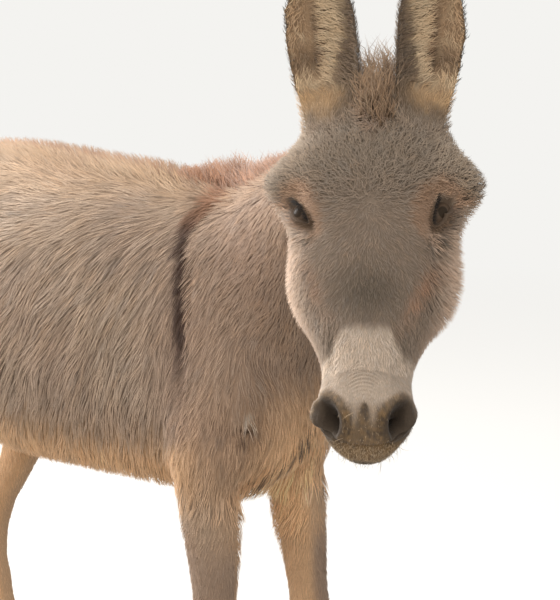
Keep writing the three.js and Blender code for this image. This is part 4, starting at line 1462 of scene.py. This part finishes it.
class DONKEY_OT_ear_coat(bpy.types.Operator):
    """Short hair on the backs of the ears and long cream hair inside them"""

    bl_idname = "donkey.ear_coat"
    bl_label = "Ear coat"

    def execute(self, context):
        hide = Hide()
        hair = hair_material("Ear hair", 0.7, 0.3)
        _, across, *_ = ear_place(hide.points, hide.normals)
        inside = ear_inside(hide.points, hide.normals)
        ridge = np.interp(across, [-1, -0.7, 0.0, 0.2, 0.5, 0.8], [1, 1.2, 1.1, 0.35, 0.35, 0.8])
        crowded = mix(np.ones(len(across)), ridge, inside)
        ears = Roots(hide, (hide.w["ear"] > 0.5) * crowded, TUFTS["ears"], 19)
        grow("coat_ears", ears, body_charts(ears, ["ear"]), hair, "coat", gather=0.4, spacing=0.008, wave=0.14,
             seed=29, shaded_root_tone=0.92, lit_tip_tone=1.45)
        return {"FINISHED"}


def crest_path():
    """The line of the mane from between the ears to the withers, in 90 even steps, and the share of the way
    along it at each. Its first knots are in the head's frame and the others lie round the withers."""
    start = from_head([(0.016, 0.006, 0.004), (0.004, 0.008, 0), (-0.014, 0.008, -0.010)])
    crest = np.array([
        (-0.100, -0.440, 1.250), (-0.072, -0.345, 1.208), (-0.038, -0.225, 1.163),
        (-0.010, -0.105, 1.126), (0, 0, 1.134), (0, 0.04, 1.14),
    ])
    knots = np.vstack([start, crest + withers()])
    s = np.append(0, np.cumsum(np.linalg.norm(np.diff(knots, axis=0), axis=1)))
    fine = np.linspace(0, s[-1], 90)
    return np.stack([np.interp(fine, s, knots[:, k]) for k in range(3)], 1), fine / s[-1]


def crest_distance(points):
    """Level distance from the line of the mane, and the share of the way along it."""
    path, share_along = crest_path()
    gap = np.full(len(points), np.inf)
    where = np.zeros(len(points))
    for spot, s in zip(path, share_along):
        d = np.hypot(*(points - spot)[:, :2].T) + 0.3 * np.abs(points[:, 2] - spot[2])
        closer = d < gap
        gap[closer] = d[closer]
        where[closer] = s
    return gap, where


class DONKEY_OT_mane(bpy.types.Operator):
    """The upright mane and the tuft between the ears"""

    bl_idname = "donkey.mane"
    bl_label = "Mane"

    def execute(self, context):
        hide = Hide()
        coat = sizes("coat")
        tone = sizes("colours")
        gap, where = crest_distance(hide.points)
        limit = self.half_width(where)
        crowded = (gap < limit) * (hide.w["ear"] < 0.3) * (1.3 - 0.8 * gap / limit)
        roots = Roots(hide, crowded, TUFTS["mane"], 31)
        rng = roots.rng
        gap, where = crest_distance(roots.point)
        aside = np.clip(gap / self.half_width(where), 0, 1)
        path, share_along = crest_path()
        way = unit(np.stack([np.interp(where, share_along, np.gradient(path[:, k])) for k in range(3)], 1))
        upright = unit(UP - (way @ UP)[:, None] * way)
        roots.normal = unit(upright + 0.7 * (aside**2)[:, None] * roots.normal)
        roots.lie = unit(way - (way * roots.normal).sum(1)[:, None] * roots.normal)
        front = 1 - ramp(where, 0.10, 0.20)
        full = coat.mane * np.interp(where, [0.2, 0.3, 0.5, 0.75, 0.9, 1], [0.75, 0.62, 0.75, 1.2, 1.0, 0.7])
        full = mix(full, coat.forelock * np.interp(where, [0, 0.05, 0.12], [0.55, 0.9, 1.1]), front)
        roots.length = full * (1 - 0.35 * aside**2) * rng.uniform(0.75, 1.1, roots.count)
        roots.length *= 1 + 0.22 * noise(roots.point, 0.025, 12)
        roots.width[:] = 0.0021
        roots.wander = 0.9 + 0.7 * front
        roots.lift = 1.45 - 0.35 * rng.random(roots.count)
        roots.stay[:] = 0.75
        # painted light on the mane's tips, by a random share for each tuft
        roots.pale = rng.random(roots.count)
        darker = 0.5 + 0.5 * noise(roots.point, 0.02, 9)
        roots.pelt = mix(all_over(tone.mane, roots.point), np.array(tone.stripe), 0.35 * darker)
        roots.pelt = mix(roots.pelt, np.array(tone.wall), 0.85 * front) * (1 - 0.56 * front[:, None])
        hair = hair_material("Mane hair", 0.6, 0.3)
        axis = unit(path[-1] - path[0])
        charts = [(np.ones(roots.count, bool), axis, UP)]
        grow("mane_hair", roots, charts, hair, "mane", rings=4, gather=0.35, spacing=0.011, wave=0.16,
             seed=32, shaded_root_tone=0.6, lit_tip_tone=2.1, nodes=("mane",))
        return {"FINISHED"}

    def half_width(self, where):
        """Half the width of the mane's foot, at shares of the way along the crest."""
        return np.interp(where, [0, 0.12, 0.3], [0.034, 0.032, 0.024])


class DONKEY_OT_tail(bpy.types.Operator):
    """The switch of long hair at the end of the tail"""

    bl_idname = "donkey.tail"
    bl_label = "Tail switch"

    def execute(self, context):
        hide = Hide()
        coat = sizes("coat")
        tone = sizes("colours")
        low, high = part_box("tail")
        down = ramp(low[2] + 0.16 - hide.points[:, 2], 0, 0.15)
        roots = Roots(hide, (hide.w["tail"] > 0.5) * down, TUFTS["switch"], 18)
        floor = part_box("tail_switch")[0][2] + 0.01
        reach = roots.point[:, 2] - floor
        roots.length = np.minimum(coat.switch * 1.1, reach) * roots.rng.uniform(0.55, 1.0, roots.count)
        level = roots.point - [(low[0] + high[0]) / 2, 0, 0]
        level[:, 1] -= (high[1] + low[1]) / 2 + 0.055
        roots.normal = unit(level * [1, 1, 0])
        roots.lie = all_over(-UP, roots.point)
        roots.lift[:] = 0.13
        roots.stay[:] = -0.5
        roots.width[:] = 0.0032
        roots.wander[:] = 0.06
        redder = 0.5 + 0.5 * noise(roots.point, 0.02, 4)
        roots.pelt = mix(all_over(tone.stripe, roots.point), np.array(tone.mane), redder)
        hair = hair_material("Tail hair", 0.55, 0.2)
        charts = [(np.ones(roots.count, bool), UP, np.array([0, 1.0, 0]))]
        grow("switch_hair", roots, charts, hair, "mane", rings=5, gather=0.5, spacing=0.02, wave=0.02,
             seed=33, nodes=("tail_switch",))
        return {"FINISHED"}


# ---- Eyes and hooves ----


def grid_mesh(name, points):
    """A closed surface and its corners, from rows of points: each row is a ring, and the first and last are
    shut by a fan."""
    rows, columns, _ = points.shape
    i, j = np.meshgrid(np.arange(rows - 1), np.arange(columns), indexing="ij")
    k = (j + 1) % columns
    a, b, c, d = i * columns + j, i * columns + k, (i + 1) * columns + k, (i + 1) * columns + j
    sides = np.stack([a, b, c, a, c, d], -1).reshape(-1, 3)
    first, last = rows * columns, rows * columns + 1
    ring = np.arange(columns)
    turn = (ring + 1) % columns
    end = (rows - 1) * columns
    bottom = np.stack([np.full(columns, first), turn, ring], 1)
    top = np.stack([np.full(columns, last), end + ring, end + turn], 1)
    corners = np.vstack([points.reshape(-1, 3), points[0].mean(0), points[-1].mean(0)])
    return build_mesh(name, corners, np.vstack([sides, bottom, top])), corners


class DONKEY_OT_eyes(bpy.types.Operator):
    """Smooth wet eyeballs with a brown iris"""

    bl_idname = "donkey.eyes"
    bl_label = "Eyes"

    def execute(self, context):
        wet = eye_material()
        for side in SIDES:
            low, high = (np.array(c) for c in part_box(f"eye_{side}"))
            _, axes = head_frame()
            look, long, short = (v @ axes for v in eye_axes(side)[1:])
            middle = (low + high) / 2
            radius = (high - low)[2] / 2
            polar = np.linspace(0.02, np.pi - 0.02, 40)[:, None]
            turn = np.linspace(0, 2 * np.pi, 64, endpoint=False)[None]
            # a ball round the way the eye looks, with a slightly bulging cornea in front
            bulge = radius * (1 + 0.05 * bell(polar, 0, 0.5))
            ball = (
                np.cos(polar)[..., None] * look
                + (np.sin(polar) * np.cos(turn))[..., None] * long
                + (np.sin(polar) * np.sin(turn))[..., None] * short
            )
            points = middle + bulge[..., None] * ball
            mesh, corners = grid_mesh(f"eye_ball_{side}", points)
            p = unit(corners - middle)
            put(mesh, "iris", np.hypot(0.75 * (p @ long), 1.15 * (p @ short)) + (p @ look < 0))
            piece(f"eye_ball_{side}", mesh, wet, "eye", f"eye_{side}")
        return {"FINISHED"}


class DONKEY_OT_hooves(bpy.types.Operator):
    """Four narrow hooves with growth rings and a flat sole"""

    bl_idname = "donkey.hooves"
    bl_label = "Hooves"

    def execute(self, context):
        horn = horn_material()
        for end in ("fore", "hind"):
            for side in SIDES:
                hoof = f"hoof_{end}_{side}"
                low, high = (np.array(corner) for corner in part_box(hoof))
                mesh, _ = grid_mesh(f"{hoof}_horn", self.wall(low, high))
                piece(f"{hoof}_horn", mesh, horn, "hoof", hoof)
        return {"FINISHED"}

    def wall(self, low, high):
        """Rings up the hoof: boxy ovals that narrow and lean back from the toe towards the top, with a small
        sine of height for the growth rings. An oval's corners fill out as the cosine and sine of the turn
        are raised to a power below 1."""
        turn = np.linspace(0, 2 * np.pi, 64, endpoint=False)
        height = np.concatenate([[0, 0, 0.03], np.linspace(0.06, 0.94, 30), [0.98, 1.0]])
        inner = np.concatenate([[0.82, 0.97, 1.0], np.ones(30), [0.98, 0.93]])
        span = high - low
        toe, heel = 0.54, 0.46  # shares of the hoof's length in front of its middle and behind it
        ring_height = 0.0062
        middle = np.array([(low[0] + high[0]) / 2, low[1] + toe * span[1]])
        c, s = (np.sign(v) * np.abs(v) ** (2 / 2.4) for v in (np.cos(turn), np.sin(turn)))
        swell = 0.0007 * np.sin(2 * np.pi * height * span[2] / ring_height) * (height > 0.04)
        wide = (span[0] / 2 - 0.001) * (1 - 0.22 * height) + swell
        front = toe * span[1] * (1 - 0.36 * height) + swell
        back = heel * span[1] * (1 - 0.08 * height) - 0.001
        deep = np.where(s[None] < 0, front[:, None], back[:, None])
        x = middle[0] + inner[:, None] * wide[:, None] * c[None]
        y = middle[1] + inner[:, None] * deep * s[None] + 0.004 * height[:, None]
        z = np.broadcast_to((low[2] + height * span[2])[:, None], x.shape)
        return np.stack([x, y, z], 2)


# ---- Stage ----

BACKDROP = "f4f3f0"


class DONKEY_OT_stage(bpy.types.Operator):
    """A pale floor and backdrop, soft studio light and the camera"""

    bl_idname = "donkey.stage"
    bl_label = "Stage"

    def execute(self, context):
        self.sweep()
        self.lights(context.scene)
        self.camera(context.scene)
        context.scene.view_settings.view_transform = "Standard"
        return {"FINISHED"}

    def sweep(self):
        """A wide floor all round the donkey, shown near white to the camera, which keeps the shadow and fades
        into the backdrop with the distance."""
        made = material("Pale floor")
        tree = made.node_tree
        path = node(tree, "ShaderNodeLightPath")
        matt = node(tree, "ShaderNodeBsdfDiffuse", {"Color": (*linear("b9b6b1"), 1)})
        glow = node(tree, "ShaderNodeEmission", {"Color": (*linear(BACKDROP), 1), "Strength": 0.55})
        shown = node(tree, "ShaderNodeAddShader")
        tree.links.new(matt.outputs[0], shown.inputs[0])
        tree.links.new(glow.outputs[0], shown.inputs[1])
        far = node(tree, "ShaderNodeEmission", {"Color": (*linear(BACKDROP), 1)})
        place = node(tree, "ShaderNodeTexCoord")
        reach = node(tree, "ShaderNodeVectorMath", {"operation": "LENGTH"}, Vector=place.outputs["Object"])
        away = {"From Min": 2.5, "From Max": 9.0}
        fade = node(tree, "ShaderNodeMapRange", away, Value=reach.outputs["Value"])
        seam = node(tree, "ShaderNodeMixShader", Fac=fade.outputs[0])
        tree.links.new(shown.outputs[0], seam.inputs[1])
        tree.links.new(far.outputs[0], seam.inputs[2])
        seen = node(tree, "ShaderNodeMixShader", Fac=path.outputs["Is Camera Ray"])
        tree.links.new(matt.outputs[0], seen.inputs[1])
        tree.links.new(seam.outputs[0], seen.inputs[2])
        node(tree, "ShaderNodeOutputMaterial", Surface=seen.outputs[0])
        edges = [-30.0, 30.0]
        x, y = np.meshgrid(edges, edges)
        points = np.stack([x.ravel(), y.ravel(), np.zeros(4)], 1)
        mesh = build_mesh("Floor", points, np.array([(0, 1, 3), (0, 3, 2)]))
        mesh.materials.append(made)
        floor = bpy.data.objects.new("Floor", mesh)
        bpy.context.scene.collection.objects.link(floor)

    def lights(self, scene):
        """A soft white world, shown as the backdrop to the camera and in reflections, and two wide lamps."""
        world = bpy.data.worlds.new("Studio")
        scene.world = world
        world.use_nodes = True
        tree = world.node_tree
        tree.nodes.clear()
        path = node(tree, "ShaderNodeLightPath")
        seen = node(tree, "ShaderNodeMath", {"operation": "MAXIMUM"})
        seen_too = node(tree, "ShaderNodeMath", {"operation": "MAXIMUM"})
        tree.links.new(path.outputs["Is Camera Ray"], seen.inputs[0])
        tree.links.new(path.outputs["Is Glossy Ray"], seen.inputs[1])
        tree.links.new(seen.outputs[0], seen_too.inputs[0])
        tree.links.new(path.outputs["Is Transmission Ray"], seen_too.inputs[1])
        soft = node(tree, "ShaderNodeBackground", {"Color": (1, 1, 1, 1), "Strength": 0.75})
        white = node(tree, "ShaderNodeBackground", {"Color": (*linear(BACKDROP), 1), "Strength": 1.0})
        both = node(tree, "ShaderNodeMixShader", Fac=seen_too.outputs[0])
        tree.links.new(soft.outputs[0], both.inputs[1])
        tree.links.new(white.outputs[0], both.inputs[2])
        node(tree, "ShaderNodeOutputWorld", Surface=both.outputs[0])
        # each lamp's place, its power in watts and its width
        lamps = {"Key": ((-3.2, -2.6, 3.4), 80, 3.2), "Back": ((-1.5, 2.9, 2.8), 205, 2.0)}
        for name, (place, power, width) in lamps.items():
            light = bpy.data.lights.new(name, "AREA")
            light.energy = power
            light.size = width
            lamp = bpy.data.objects.new(name, light)
            lamp.location = place
            x, y, z = np.array([0, -0.1, 0.9]) - place
            lamp.rotation_euler = (np.arctan2(np.hypot(x, y), -z), 0, np.arctan2(-x, y))
            scene.collection.objects.link(lamp)

    def camera(self, scene):
        """A level camera on the 36 mm frame, turned by the stage's pitch and yaw."""
        stage = sizes("stage")
        data = bpy.data.cameras.new("Camera")
        data.lens = stage.lens
        data.sensor_width = 36
        item = bpy.data.objects.new("Camera", data)
        item.location = withers() + np.array(stage.camera)
        item.rotation_euler = (np.pi / 2 - stage.pitch, 0, -stage.yaw)
        scene.collection.objects.link(item)
        scene.camera = item


# ---- Panel and registration ----

STEPS = [
    DONKEY_OT_skin,
    DONKEY_OT_eyes,
    DONKEY_OT_hooves,
    DONKEY_OT_body_coat,
    DONKEY_OT_leg_coat,
    DONKEY_OT_head_coat,
    DONKEY_OT_ear_coat,
    DONKEY_OT_mane,
    DONKEY_OT_tail,
    DONKEY_OT_stage,
]
GROUPS = {
    "skin": DonkeySkin,
    "head": DonkeyHead,
    "coat": DonkeyCoat,
    "colours": DonkeyColours,
    "stage": DonkeyStage,
}


class DONKEY_PT_panel(bpy.types.Panel):
    """Lists the steps that make the donkey and their sizes"""

    bl_idname = "DONKEY_PT_panel"
    bl_label = "Donkey"
    bl_space_type = "VIEW_3D"
    bl_region_type = "UI"
    bl_category = "Donkey"

    def draw(self, context):
        for step in STEPS:
            self.layout.operator(step.bl_idname)
        for name, group in GROUPS.items():
            box = self.layout.box()
            box.label(text=name.capitalize())
            for field in group.__annotations__:
                box.prop(getattr(context.scene, f"donkey_{name}"), field)


def register():
    """Adds the classes, and each group's sizes to the scene."""
    for name, group in GROUPS.items():
        bpy.utils.register_class(group)
        setattr(bpy.types.Scene, f"donkey_{name}", PointerProperty(type=group))
    for step in [*STEPS, DONKEY_PT_panel]:
        bpy.utils.register_class(step)


def unregister():
    """Takes away what register adds."""
    for step in [DONKEY_PT_panel, *reversed(STEPS)]:
        bpy.utils.unregister_class(step)
    for name, group in reversed(GROUPS.items()):
        delattr(bpy.types.Scene, f"donkey_{name}")
        bpy.utils.unregister_class(group)


def main():
    """Runs each step in order."""
    register()
    for step in STEPS:
        family, action = step.bl_idname.split(".")
        getattr(getattr(bpy.ops, family), action)()


if __name__ == "__main__":
    main()
